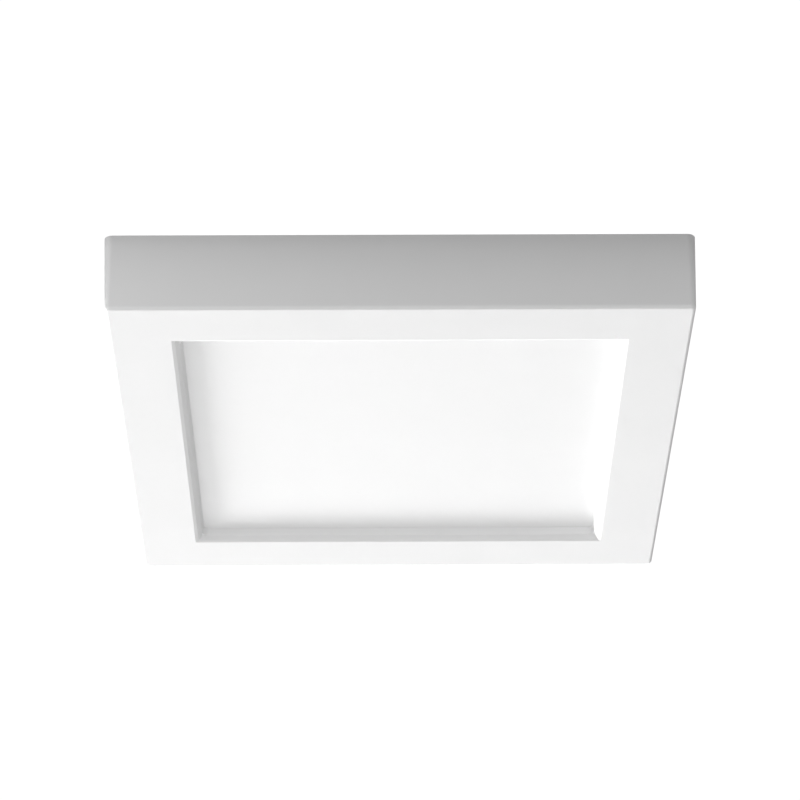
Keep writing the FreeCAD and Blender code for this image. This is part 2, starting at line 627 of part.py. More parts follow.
def make_back_plate():
    """Sheet-steel pan over the stack, with screw tabs, turned-up edges, beads and a hook."""
    body = new_body("back_plate")
    outline = new_sketch(body, "plate_outline", at=("0", "0", SEAT))
    draw_clipped(outline, "2 * " + PLATE_HALF, "2 * " + PLATE_HALF, "plate_corner")
    add_pad(body, "plate", outline, "plate_thick")
    tabs = new_sketch(body, "tab_outline", at=("0", "0", SEAT))
    start = "(%s - plate_thick)" % PLATE_HALF
    end = "(%s + lug_half)" % LUG_PLACE
    for place in ("tab_offset", "-tab_offset"):
        draw_box(tabs, "(%s + %s) / 2" % (start, end), place, "%s - %s" % (end, start), "tab_width")
    tab = add_pad(body, "tab", tabs, "plate_thick")
    add_polar(body, "tabs", [tab], 2)
    edge = new_sketch(body, "turned_edge_outline", at=("0", "0", SEAT))
    draw_box(edge, "0", "%s - plate_thick / 2" % PLATE_HALF, "turned_edge_length", "plate_thick")
    turned = add_pad(body, "turned_edge", edge, "plate_thick + turned_edge_height")
    add_polar(body, "turned_edges", [turned], 2)

    beads = new_sketch(body, "bead_outline", at=("0", "0", PLATE))
    hollows = new_sketch(body, "bead_hollow_outline", at=("0", "0", SEAT))
    walls = " - 2 * plate_thick"
    for index in range(int(value("bead_count"))):
        place = "(bead_first + %d * bead_spacing)" % index
        draw_slot(beads, "0", place, "bead_length", "bead_width")
        draw_box(hollows, "0", place, "bead_length - bead_width", "bead_width" + walls)
    add_pad(body, "beads", beads, "bead_height")
    add_pocket(body, "bead_hollows", hollows, "bead_height", up=True)

    for name, reach, low in (("hook_post", "0", "0"), ("hook_lip", "hook_reach", HOOK_UNDER)):
        hook = new_sketch(body, name + "_outline", at=(HOOK_INNER, "driver_y", PLATE + " + " + low))
        draw_box(hook, "(%s - plate_thick) / 2" % reach, "0", "plate_thick + " + reach, "hook_width")
        add_pad(body, name, hook, HOOK_UNDER + " + plate_thick - " + low)

    holes = new_sketch(body, "tab_hole_outline", at=("0", "0", PLATE))
    for place in ("tab_offset", "-tab_offset"):
        draw_circle(holes, LUG_PLACE, place, "screw_dia / 2 + hole_gap")
    hole = add_pocket(body, "tab_hole", holes, "plate_thick")
    add_polar(body, "tab_holes", [hole], 2)
    slots = new_sketch(body, "slot_outline", at=("0", "0", PLATE))
    gap = " + 2 * stack_gap"
    middle = "%s - strip_thick / 2" % STACK_HALF
    draw_box(slots, middle, TONGUE_Y, "strip_thick" + gap, "tongue_width" + gap)
    gap = " + 2 * peg_gap"
    draw_box(slots, TERMINAL_X, "terminal_y", "peg_long" + gap, "peg_wide" + gap)
    add_pocket(body, "slots", slots, "plate_thick")
    return body


# Where the studs stand and what each nut sits on: the driver's free ear and the earth tag.
DRIVER_EAR = "(driver_length / 2 + ear_length / 2)"
STUDS = [
    ("(%s + %s)" % (DRIVER_X, DRIVER_EAR), "driver_y", "case_wall"),
    (EARTH_X, EARTH_Y, "tag_thick"),
]


def draw_cross(sketch, arm, half):
    """The outline of a cross recess."""
    draw_polygon(
        sketch,
        [
            (arm, "-" + half),
            (arm, half),
            (half, half),
            (half, arm),
            ("-" + half, arm),
            ("-" + half, half),
            ("-" + arm, half),
            ("-" + arm, "-" + half),
            ("-" + half, "-" + half),
            ("-" + half, "-" + arm),
            (half, "-" + arm),
            (half, "-" + half),
        ],
    )


def draw_hexagon(sketch, flats):
    """A regular hexagon about the sketch's origin, by its size across flats."""
    radius = "(%s / 2 / cos(30))" % flats
    corners = [
        ("%s * cos(%d)" % (radius, angle), "%s * sin(%d)" % (radius, angle))
        for angle in range(0, 360, 60)
    ]
    draw_polygon(sketch, corners)


def make_back_plate_screws():
    """Four cheese-head screws with cross recesses."""
    body = new_body("back_plate_screws", several=True)
    made = []
    for index, place in enumerate(("tab_offset", "-tab_offset")):
        at = (LUG_PLACE, place, PLATE)
        profile = new_sketch(body, "screw_profile%d" % index, "XZ_Plane", at=at)
        corners = [
            ("0", "-screw_length"),
            ("screw_dia / 2", "-screw_length"),
            ("screw_dia / 2", "0"),
            ("screw_head_dia / 2", "0"),
            ("screw_head_dia / 2", "screw_head_height"),
            ("0", "screw_head_height"),
        ]
        draw_polygon(profile, corners)
        made.append(add_revolution(body, "screw%d" % index, profile))
        at = (LUG_PLACE, place, PLATE + " + screw_head_height")
        recess = new_sketch(body, "recess_outline%d" % index, at=at)
        draw_cross(recess, "recess_length / 2", "recess_width / 2")
        made.append(add_pocket(body, "recess%d" % index, recess, "recess_deep"))
    add_polar(body, "screws", made, 2)
    return body


def make_plate_studs():
    """Threaded studs welded to the back plate."""
    body = new_body("plate_studs", several=True)
    outline = new_sketch(body, "stud_outline", at=("0", "0", PLATE))
    for x, y, _ in STUDS:
        draw_circle(outline, x, y, "stud_dia / 2")
    add_pad(body, "studs", outline, "stud_rise")
    return body


def make_stud_nuts():
    """A hexagon nut on each stud, down on what the stud holds."""
    body = new_body("stud_nuts", several=True)
    for index, (x, y, under) in enumerate(STUDS):
        sketch = new_sketch(body, "nut_outline%d" % index, at=(x, y, PLATE + " + " + under))
        draw_hexagon(sketch, "nut_flats")
        draw_circle(sketch, "0", "0", "stud_dia / 2 + thread_gap")
        add_pad(body, "nut%d" % index, sketch, "nut_height")
    return body


def make_strip_links():
    """L-shaped ribbons that join neighbouring strips at three corners."""
    body = new_body("strip_links", several=True)
    face = "(%s - strip_thick)" % STACK_HALF
    inner = "(%s - link_thick)" % face
    end = "(%s - link_reach)" % STRIP_HALF
    low = "(%s + %s - link_tall) / 2" % (GUIDE, GUIDE_TOP)
    corners = [(face, end), (face, face), (end, face), (end, inner), (inner, inner), (inner, end)]
    for index, (sign_x, sign_y) in enumerate((("", ""), ("-", ""), ("-", "-"))):
        sketch = new_sketch(body, "link_outline%d" % index, at=("0", "0", low))
        draw_polygon(sketch, [(sign_x + x, sign_y + y) for x, y in corners])
        add_pad(body, "link%d" % index, sketch, "link_tall")
    return body


def make_set_screw(name, sign):
    """A hexagon-socket set screw in one side wall, its cone against the bracket's ear."""
    body = new_body(name)
    tip = "(%s + tip_gap)" % EAR_HALF
    end = "(%s + set_length)" % tip
    profile = new_sketch(body, "screw_profile", "XZ_Plane", at=("0", "0", "-set_depth"))
    corners = [
        (tip, "0"),
        (tip, "set_tip_dia / 2"),
        (tip + " + set_cone", "set_dia / 2"),
        (end, "set_dia / 2"),
        (end, "0"),
    ]
    draw_polygon(profile, [(sign + "(" + x + ")", y) for x, y in corners])
    add_revolution(body, "screw", profile, axis="H_Axis")
    socket = new_sketch(body, "socket_outline", "YZ_Plane", at=(sign + end, "0", "-set_depth"))
    draw_hexagon(socket, "set_socket")
    add_pocket(body, "socket", socket, "set_socket_deep", up=sign == "-")
    return body


def make_mounting_bracket():
    """Steel crossbar with an ear turned down at each end and hemmed long edges."""
    body = new_body("mounting_bracket")
    profile = new_sketch(body, "crossbar_profile", "XZ_Plane")
    inner = "(%s - bracket_thick)" % EAR_HALF
    half = [
        (inner, "-bracket_thick"),
        (inner, "-ear_height"),
        (EAR_HALF, "-ear_height"),
        (EAR_HALF, "0"),
    ]
    corners = half + [("-" + x, z) for x, z in reversed(half)]
    draw_polygon(profile, corners)
    strip = body.newObject("PartDesign::Pad", "crossbar")
    strip.Profile = profile
    strip.Midplane = True
    bind(strip, "Length", "bracket_width")
    document.recompute()
    chosen = lies_across(value(EAR_HALF), 0)
    bends = add_edges(body, "outer_bends", "Fillet", "bend_radius", strip, chosen)
    chosen = lies_across(value(inner), value("-bracket_thick"))
    add_edges(body, "inner_bends", "Fillet", "bend_radius - bracket_thick", bends, chosen)

    waste = new_sketch(body, "shoulder_outline")
    length = "(shoulder_length + %s)" % PAST
    width = "((bracket_width - ear_width) / 2 + %s)" % PAST
    for sign_x in ("-", ""):
        for sign_y in ("-", ""):
            x = sign_x + "(%s + %s - %s / 2)" % (EAR_HALF, PAST, length)
            y = sign_y + "(ear_width / 2 + %s / 2)" % width
            draw_rounded(waste, x, y, length, width, "shoulder_round")
    add_pocket(body, "shoulders", waste, "ear_height")
    hems = new_sketch(body, "hem_outline")
    length = "2 * (%s - shoulder_length - hem_inset)" % EAR_HALF
    for sign in ("-", ""):
        y = sign + "(bracket_width / 2 - bracket_thick / 2)"
        draw_box(hems, "0", y, length, "bracket_thick")
    add_pad(body, "hems", hems, "hem_height", down=True)
    holes = new_sketch(body, "hole_outline")
    draw_circle(holes, "0", "0", "wire_hole / 2")
    draw_circle(holes, "ground_place", "0", "ground_dia / 2 + thread_gap")
    for sign in ("-", ""):
        draw_slot(holes, sign + "box_slot_place", "0", "box_slot_length", "box_slot_width")
    add_pocket(body, "holes", holes, "bracket_thick")
    return body


def make_ground_parts():
    """The earth screw, head down under the crossbar, and its washer."""
    washer = new_body("ground_washer")
    ring = new_sketch(washer, "washer_outline", at=("ground_place", "0", "-bracket_thick"))
    draw_box(ring, "0", "0", "ground_washer_side", "ground_washer_side")
    draw_circle(ring, "0", "0", "ground_dia / 2 + hole_gap")
    add_pad(washer, "washer", ring, "ground_washer_thick", down=True)
    screw = new_body("ground_screw")
    shank = new_sketch(screw, "shank_outline", at=("ground_place", "0", "0"))
    draw_circle(shank, "0", "0", "ground_dia / 2")
    seat = "(bracket_thick + ground_washer_thick)"
    add_pad(screw, "shank", shank, seat, down=True)
    head = new_sketch(screw, "head_outline", at=("ground_place", "0", "-" + seat))
    draw_hexagon(head, "ground_flats")
    add_pad(screw, "head", head, "ground_head_height", down=True)
    bottom = "(-%s - ground_head_height)" % seat
    slot = new_sketch(screw, "slot_outline", at=("ground_place", "0", bottom))
    draw_box(slot, "0", "0", "ground_flats * 2", "ground_slot")
    add_pocket(screw, "slot", slot, "ground_slot_deep", up=True)
    return [screw, washer]


# The driver case: floor, walls and what stands inside, from its centre.
CASE_FLOOR = "(" + PLATE + " + case_wall)"
BASE_LENGTH = "(driver_length - 2 * case_wall - 2 * case_gap)"
BASE_WIDTH = "(driver_width - 2 * case_wall - 2 * case_gap)"
BOARD_LENGTH = "(" + BASE_LENGTH + " - 2 * case_wall - 2 * board_gap)"
BOARD_WIDTH = "(" + BASE_WIDTH + " - 2 * case_wall - 2 * board_gap)"
BOARD_LOW = "(" + CASE_FLOOR + " + standoff_height)"
BOARD_TOP = "(" + BOARD_LOW + " + board_thick)"
# The leads clear the base's wall on their way in: their level, and the mains leads' places.
LEAD_LEVEL = "(" + CASE_FLOOR + " + base_wall_height + lead_gap + lead_dia / 2)"
MAINS_LEADS = ["(terminal_y %s lead_spacing / 2)" % sign for sign in "+-"]


def make_driver_base():
    """Floor with two mounting ears, a low wall with latches, and posts for the board."""
    body = new_body("driver_base")
    floor = new_sketch(body, "floor_outline", at=(DRIVER_X, "driver_y", PLATE))
    draw_rounded(floor, "0", "0", "driver_length", "driver_width", "case_round")
    add_pad(body, "floor", floor, "case_wall")
    ears = new_sketch(body, "ear_outline", at=(DRIVER_X, "driver_y", PLATE))
    draw_clipped(ears, "driver_length + 2 * ear_length", "ear_breadth", "ear_corner")
    add_pad(body, "ears", ears, "case_wall")
    wall = new_sketch(body, "wall_outline", at=(DRIVER_X, "driver_y", CASE_FLOOR))
    draw_box(wall, "0", "0", BASE_LENGTH, BASE_WIDTH)
    thick = " - 2 * case_wall"
    draw_box(wall, "0", "0", BASE_LENGTH + thick, BASE_WIDTH + thick)
    add_pad(body, "wall", wall, "base_wall_height")
    posts = new_sketch(body, "post_outline", at=(DRIVER_X, "driver_y", CASE_FLOOR))
    low = CASE_FLOOR + " + base_wall_height / 2 - latch_height / 2"
    latches = new_sketch(body, "latch_outline", at=(DRIVER_X, "driver_y", low))
    for sign_x in ("-", ""):
        for sign_y in ("-", ""):
            x = sign_x + "(%s / 2 - standoff_inset)" % BOARD_LENGTH
            y = sign_y + "(%s / 2 - standoff_inset)" % BOARD_WIDTH
            draw_box(posts, x, y, "standoff_side", "standoff_side")
            y = sign_y + "(%s / 2 + latch_depth / 2)" % BASE_WIDTH
            draw_box(latches, sign_x + "latch_place", y, "latch_width", "latch_depth")
    add_pad(body, "posts", posts, "standoff_height")
    add_pad(body, "latches", latches, "latch_height")
    hole = new_sketch(body, "ear_hole_outline", at=(DRIVER_X, "driver_y", CASE_FLOOR))
    draw_circle(hole, DRIVER_EAR, "0", "stud_dia / 2 + hole_gap")
    add_pocket(body, "ear_hole", hole, "case_wall")
    return body


def cut_notches(body, name, places, width, height, up):
    """Notches for leads in one end of the cover, open below."""
    low = CASE_FLOOR + " - " + PAST
    top = "(%s + %s / 2 + lead_gap)" % (LEAD_LEVEL, height)
    middle = "(%s + %s) / 2" % (top, low)
    notches = new_sketch(body, name + "_outline", "YZ_Plane", at=(DRIVER_X, "0", "0"))
    for place in places:
        draw_box(notches, place, middle, width + " + 2 * lead_gap", "%s - (%s)" % (top, low))
    add_pocket(body, name, notches, "driver_length", up=up)


def make_driver_cover():
    """Moulded cover over the driver, open below, with latch windows and lead notches."""
    body = new_body("driver_cover")
    outer = new_sketch(body, "cover_outline", at=(DRIVER_X, "driver_y", CASE_FLOOR))
    draw_rounded(outer, "0", "0", "driver_length", "driver_width", "case_round")
    shell = add_pad(body, "cover", outer, "driver_height - case_wall")
    add_edges(body, "top_edge", "Chamfer", "case_edge", shell, lies_at(value(CASE_TOP)))
    inner = new_sketch(body, "inner_outline", at=(DRIVER_X, "driver_y", CASE_FLOOR))
    thick = " - 2 * case_wall"
    draw_box(inner, "0", "0", "driver_length" + thick, "driver_width" + thick)
    add_pocket(body, "inside", inner, "driver_height - 2 * case_wall", up=True)
    at = (DRIVER_X, "driver_y + driver_width", CASE_FLOOR + " + base_wall_height / 2")
    windows = new_sketch(body, "window_outline", "XZ_Plane", at=at)
    gap = " + 2 * case_gap"
    for sign in ("-", ""):
        draw_box(windows, sign + "latch_place", "0", "latch_width" + gap, "latch_height" + gap)
    add_pocket(body, "windows", windows, "2 * driver_width", up=True)
    cut_notches(body, "inlets", MAINS_LEADS, "lead_dia", "lead_dia", up=False)
    cut_notches(body, "outlet", [TONGUE_Y], "twin_wide", "twin_thick", up=True)
    return body


def part_box(name, x, y, low, length, width, height):
    """A plain block standing on a level, centred on a point of the plan."""
    box = document.addObject("Part::Box", name)
    bind(box, "Length", length)
    bind(box, "Width", width)
    bind(box, "Height", height)
    bind(box, "Placement.Base.x", "(%s) - (%s) / 2" % (x, length))
    bind(box, "Placement.Base.y", "(%s) - (%s) / 2" % (y, width))
    bind(box, "Placement.Base.z", low)
    return box


def part_rod(name, x, y, z, radius, length, along="Z"):
    """A cylinder from a point, running up or along +X or +Y."""
    rod = document.addObject("Part::Cylinder", name)
    axis, angle = {
        "Z": (FreeCAD.Vector(0, 0, 1), 0),
        "X": (FreeCAD.Vector(0, 1, 0), 90),
        "Y": (FreeCAD.Vector(1, 0, 0), -90),
    }[along]
    rod.Placement = FreeCAD.Placement(FreeCAD.Vector(0, 0, 0), FreeCAD.Rotation(axis, angle))
    bind(rod, "Radius", radius)
    bind(rod, "Height", length)
    for direction, text in zip("xyz", (x, y, z)):
        bind(rod, "Placement.Base." + direction, text)
    return rod


def part_rounded(name, base, radius, chosen):
    """A block with some of its edges rounded; the radius is read from the sheet."""
    document.recompute()
    size = value(radius)
    edges = enumerate(base.Shape.Edges, start=1)
    fillet = document.addObject("Part::Fillet", name)
    fillet.Base = base
    fillet.Edges = [(index, size, size) for index, edge in edges if chosen(edge)]
    document.recompute()
    return fillet


def part_fuse(name, pieces):
    fuse = document.addObject("Part::MultiFuse", name)
    fuse.Shapes = pieces
    fuse.Label = name
    document.recompute()
    return fuse


def part_cut(name, base, tool):
    cut = document.addObject("Part::Cut", name)
    cut.Base = base
    cut.Tool = tool
    cut.Label = name
    document.recompute()
    return cut


def part_group(name, pieces):
    """Separate solids in one node."""
    group = document.addObject("Part::Compound", name)
    group.Links = pieces
    group.Label = name
    document.recompute()
    return group


def make_driver_board():
    """The driver's printed board, on the four posts."""
    return part_box(
        "driver_board", DRIVER_X, "driver_y", BOARD_LOW, BOARD_LENGTH, BOARD_WIDTH, "board_thick"
    )


# What stands along the board from its mains end, evenly spread: each one's length in that row.
ROW = ["fuse_dia", "film_wide", "choke_base", "bulk_dia", "core_long", "ic_long", "output_dia"]
FUSE, FILM, CHOKE, BULK, CORE, CHIP, OUTPUT = range(len(ROW))
ROW_GAP = "((%s - (%s)) / %d)" % (BOARD_LENGTH, " + ".join(ROW), len(ROW) + 1)


def on_board(index, side):
    """A point of the plan: one place of the row, and so far across the board."""
    before = " + ".join([ROW[index] + " / 2"] + ROW[:index])
    along = "(%s + %d * %s - %s / 2)" % (before, index + 1, ROW_GAP, BOARD_LENGTH)
    return "(%s + %s)" % (DRIVER_X, along), "(driver_y + (%s))" % side


def make_choke():
    """A drum choke on its square foot."""
    x, y = on_board(CHOKE, "choke_side")
    foot = part_box("choke_foot", x, y, BOARD_TOP, "choke_base", "choke_base", "choke_base_tall")
    level = BOARD_TOP + " + choke_base_tall"
    drum = part_rod("choke_drum", x, y, level, "choke_dia / 2", "choke_tall")
    return part_fuse("choke", [foot, drum])


def make_transformer():
    """A closed ferrite frame with a middle leg, and the taped winding round that leg."""
    x, y = on_board(CORE, "0")
    window = "core_long - 2 * core_leg"
    block = part_box("core_block", x, y, BOARD_TOP, "core_long", "core_wide", "core_tall")
    low = BOARD_TOP + " - " + PAST
    through = "core_tall + 2 * " + PAST
    inside = "core_wide + 2 * " + PAST
    hole = part_box("core_window", x, y, low, window, inside, through)
    frame = part_cut("core_frame", block, hole)
    leg_low = BOARD_TOP + " + (core_tall - core_leg) / 2"
    leg = part_box("core_middle", x, y, leg_low, window, "core_leg", "core_leg")
    core = part_fuse("transformer_core", [frame, leg])

    low = BOARD_TOP + " + (core_tall - winding_tall) / 2"
    length = window + " - 2 * winding_gap"
    coil = part_box("coil_block", x, y, low, length, "winding_wide", "winding_tall")
    along = value("core_leg")
    coil = part_rounded(
        "coil_body", coil, "winding_round", lambda edge: edge.BoundBox.XLength > along
    )
    side = "core_leg + 2 * winding_gap"
    low = leg_low + " - winding_gap"
    bore = part_box("coil_bore", x, y, low, "core_long", side, side)
    return [core, part_cut("transformer_winding", coil, bore)]


def make_board_pieces():
    """What stands on the driver board, from the mains end to the output end."""
    x, y = on_board(FUSE, "fuse_side - fuse_length / 2")
    level = BOARD_TOP + " + fuse_dia / 2"
    fuse = part_rod("fuse", x, y, level, "fuse_dia / 2", "fuse_length", along="Y")
    cans = [
        ("bulk_capacitor", BULK, "0", "bulk_dia", "bulk_length"),
        ("output_capacitor", OUTPUT, "output_side", "output_dia", "output_length"),
    ]
    blocks = [
        ("mains_capacitor", FILM, "film_side", "film_wide", "film_long", "film_tall"),
        ("bridge_rectifier", CHOKE, "bridge_side", "bridge_long", "bridge_wide", "bridge_tall"),
        ("control_chip", CHIP, "ic_side", "ic_long", "ic_wide", "ic_tall"),
        ("output_diode", CHIP, "-ic_side", "diode_long", "diode_wide", "diode_tall"),
    ]
    made = [fuse, make_choke(), *make_transformer()]
    for name, index, side, length, width, height in blocks:
        x, y = on_board(index, side)
        made.append(part_box(name, x, y, BOARD_TOP, length, width, height))
    for name, index, side, dia, length in cans:
        x, y = on_board(index, "%s - %s / 2" % (side, length))
        level = BOARD_TOP + " + %s / 2" % dia
        made.append(part_rod(name, x, y, level, dia + " / 2", length, along="Y"))
    return made


def make_leads():
    """Short straight leads held at both ends: mains, earth and low voltage."""
    start = "(%s + %s / 2)" % (TERMINAL_X, TERMINAL_WIDTH)
    length = "%s - driver_length / 2 + lead_enter - %s" % (DRIVER_X, start)
    mains = [
        part_rod("mains_lead%d" % index, start, y, LEAD_LEVEL, "lead_dia / 2", length, along="X")
        for index, y in enumerate(MAINS_LEADS)
    ]
    start = "(terminal_y + terminal_depth / 2)"
    length = "%s - tag_reach + crimp_length - %s" % (EARTH_Y, start)
    level = PLATE + " + tag_thick + lead_dia / 2"
    earth = part_rod("earth_lead", EARTH_X, start, level, "lead_dia / 2", length, along="Y")
    start = "(%s + driver_length / 2 - lead_enter)" % DRIVER_X
    end = "(%s - strip_thick)" % STACK_HALF
    middle = "(%s + %s) / 2" % (start, end)
    low = "%s - twin_thick / 2" % LEAD_LEVEL
    length = "%s - %s" % (end, start)
    twin = part_box("led_lead", middle, TONGUE_Y, low, length, "twin_wide", "twin_thick")
    return [part_group("mains_leads", mains), earth, twin]


def make_earth_tag():
    """Ring tag under the earth stud's nut, crimped on the earth lead."""
    body = new_body("earth_tag")
    outline = new_sketch(body, "ring_outline", at=(EARTH_X, EARTH_Y, PLATE))
    draw_circle(outline, "0", "0", "tag_dia / 2")
    add_pad(body, "ring", outline, "tag_thick")
    neck = new_sketch(body, "neck_outline", at=(EARTH_X, EARTH_Y, PLATE))
    width = "lead_dia + 2 * crimp_wall"
    draw_box(neck, "0", "-tag_reach / 2", width, "tag_reach")
    add_pad(body, "neck", neck, "tag_thick")
    end = EARTH_Y + " - tag_reach"
    top = PLATE + " + tag_thick"
    crimp = new_sketch(body, "crimp_outline", at=(EARTH_X, end, top))
    draw_box(crimp, "0", "crimp_length / 2", width, "crimp_length")
    add_pad(body, "crimp", crimp, "lead_dia + crimp_wall")
    at = (EARTH_X, end, top + " + lead_dia / 2")
    bore = new_sketch(body, "bore_outline", "XZ_Plane", at=at)
    draw_circle(bore, "0", "0", "lead_dia / 2")
    add_pocket(body, "bore", bore, "crimp_length")
    hole = new_sketch(body, "ring_hole_outline", at=(EARTH_X, EARTH_Y, top))
    draw_circle(hole, "0", "0", "stud_dia / 2 + hole_gap")
    add_pocket(body, "ring_hole", hole, "tag_thick")
    return body


TERMINAL_TOP = "(" + PLATE + " + terminal_height)"
POLES = [EARTH_X, TERMINAL_X, "(" + TERMINAL_X + " + terminal_pitch)"]
BUTTON_Y = "(terminal_y + terminal_depth / 4)"


def make_terminal_block():
    """Push-in mains inlet: three funnelled entries, button wells and a peg in the back plate."""
    body = new_body("terminal_block")
    outline = new_sketch(body, "block_outline", at=(TERMINAL_X, "terminal_y", PLATE))
    draw_box(outline, "0", "0", TERMINAL_WIDTH, "terminal_depth")
    block = add_pad(body, "block", outline, "terminal_height")
    add_edges(body, "top_edge", "Chamfer", "terminal_edge", block, lies_at(value(TERMINAL_TOP)))
    peg = new_sketch(body, "peg_outline", at=(TERMINAL_X, "terminal_y", PLATE))
    draw_box(peg, "0", "0", "peg_long", "peg_wide")
    add_pad(body, "peg", peg, "plate_thick - peg_gap", down=True)
    front = "(terminal_y - terminal_depth / 2)"
    mouths = new_sketch(body, "mouth_outline", "XZ_Plane", at=("0", front, LEAD_LEVEL))
    entries = new_sketch(body, "entry_outline", "XZ_Plane", at=("0", front, LEAD_LEVEL))
    wells = new_sketch(body, "well_outline", at=("0", BUTTON_Y, TERMINAL_TOP))
    gap = " + 2 * button_gap"
    for place in POLES:
        draw_box(mouths, place, "0", "entry_mouth", "entry_mouth")
        draw_circle(entries, place, "0", "entry_dia / 2")
        draw_box(wells, place, "0", "button_wide" + gap, "button_long" + gap)
    lean = "-atan((entry_mouth / 2 - entry_dia / 2 - entry_lip) / mouth_deep)"
    add_pocket(body, "mouths", mouths, "mouth_deep", taper=lean)
    add_pocket(body, "entries", entries, "entry_deep")
    add_pocket(body, "wells", wells, "button_tall - button_rise + button_travel + button_gap")
    return body


def make_terminal_contacts():
    """Contact plates at the inner ends of the wire entries."""
    body = new_body("terminal_contacts", several=True)
    end = "(terminal_y - terminal_depth / 2 + entry_deep)"
    plates = new_sketch(body, "contact_outline", "XZ_Plane", at=("0", end, LEAD_LEVEL))
    for place in POLES:
        draw_box(plates, place, "0", "contact_side", "contact_side")
    add_pad(body, "contacts", plates, "contact_thick")
    return body


def make_release_buttons():
    """Three buttons that free the supply wires when they are pressed down."""
    made = []
    top = "(" + TERMINAL_TOP + " + button_rise)"
    for index, place in enumerate(POLES, start=1):
        body = new_body("release_button_%d" % index)
        outline = new_sketch(body, "button_outline", at=(place, BUTTON_Y, top + " - button_tall"))
        draw_box(outline, "0", "0", "button_wide", "button_long")
        block = add_pad(body, "button", outline, "button_tall")
        add_edges(body, "button_edge", "Chamfer", "button_edge", block, lies_at(value(top)))
        notch = new_sketch(body, "notch_outline", at=(place, BUTTON_Y, top))
        draw_box(notch, "0", "0", "notch_long", "notch_wide")
        add_pocket(body, "notch", notch, "notch_deep")
        made.append(body)
    return made


def finish():
    """Check every object, then write one file for each sub-part."""
    document.recompute()
    for item in document.Objects:
        if "Invalid" in item.State or "Error" in item.State:
            raise RuntimeError(item.Name + " failed: " + str(item.State))
    os.makedirs("parts", exist_ok=True)
    for item in SUBPARTS:
        shape = item.Shape
        if shape.isNull() or not shape.isValid():
            raise RuntimeError(item.Label + " has no valid shape")
        shape.exportStep(os.path.join("parts", item.Label + ".step"))


SUBPARTS = [
    make_housing(),
    make_sheet("diffuser", LENS, "diffuser_thick", "(%s - stack_gap)" % STACK_HALF),
    make_sheet("light_guide", GUIDE, "guide_thick", GUIDE_HALF),
    make_sheet("reflector_sheet", GUIDE_TOP, "reflector_thick", GUIDE_HALF),
    make_led_strips(),
    make_led_chips(),
    make_strip_links(),
    make_back_plate(),
    make_back_plate_screws(),
    make_plate_studs(),
    make_stud_nuts(),
    make_set_screw("set_screw_left", "-"),
    make_set_screw("set_screw_right", ""),
    make_mounting_bracket(),
    *make_ground_parts(),
    make_driver_base(),
    make_driver_cover(),
    make_driver_board(),
    *make_board_pieces(),
    *make_leads(),
    make_earth_tag(),
    make_terminal_block(),
    make_terminal_contacts(),
    *make_release_buttons(),
]
finish()
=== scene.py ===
"""Square flush mount ceiling light: finishes, small visible detail, light and camera."""
import json
import math

import bmesh
import bpy
from mathutils import Matrix, Vector


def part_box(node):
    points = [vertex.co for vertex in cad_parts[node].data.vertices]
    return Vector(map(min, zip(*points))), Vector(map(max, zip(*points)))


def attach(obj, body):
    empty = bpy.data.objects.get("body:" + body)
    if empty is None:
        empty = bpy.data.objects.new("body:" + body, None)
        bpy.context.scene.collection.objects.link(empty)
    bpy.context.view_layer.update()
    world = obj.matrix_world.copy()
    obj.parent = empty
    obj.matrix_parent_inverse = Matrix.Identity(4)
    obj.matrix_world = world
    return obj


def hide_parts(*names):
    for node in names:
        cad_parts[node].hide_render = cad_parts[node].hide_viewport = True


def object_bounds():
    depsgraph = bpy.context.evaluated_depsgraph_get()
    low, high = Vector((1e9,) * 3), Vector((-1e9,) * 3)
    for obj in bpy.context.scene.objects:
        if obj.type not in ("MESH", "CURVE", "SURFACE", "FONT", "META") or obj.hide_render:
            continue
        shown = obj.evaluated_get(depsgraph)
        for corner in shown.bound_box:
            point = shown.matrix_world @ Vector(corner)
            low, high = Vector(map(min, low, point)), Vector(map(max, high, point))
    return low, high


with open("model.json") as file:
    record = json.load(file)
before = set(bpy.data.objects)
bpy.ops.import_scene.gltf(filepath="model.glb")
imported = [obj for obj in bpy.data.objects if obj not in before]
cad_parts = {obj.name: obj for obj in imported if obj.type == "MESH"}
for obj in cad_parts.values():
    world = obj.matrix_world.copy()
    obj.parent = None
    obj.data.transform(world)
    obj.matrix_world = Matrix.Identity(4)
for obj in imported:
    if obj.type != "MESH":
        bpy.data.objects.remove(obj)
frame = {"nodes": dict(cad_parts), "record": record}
cad_low, cad_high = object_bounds()

MM = 0.001


# ---------------------------------------------------------------- materials


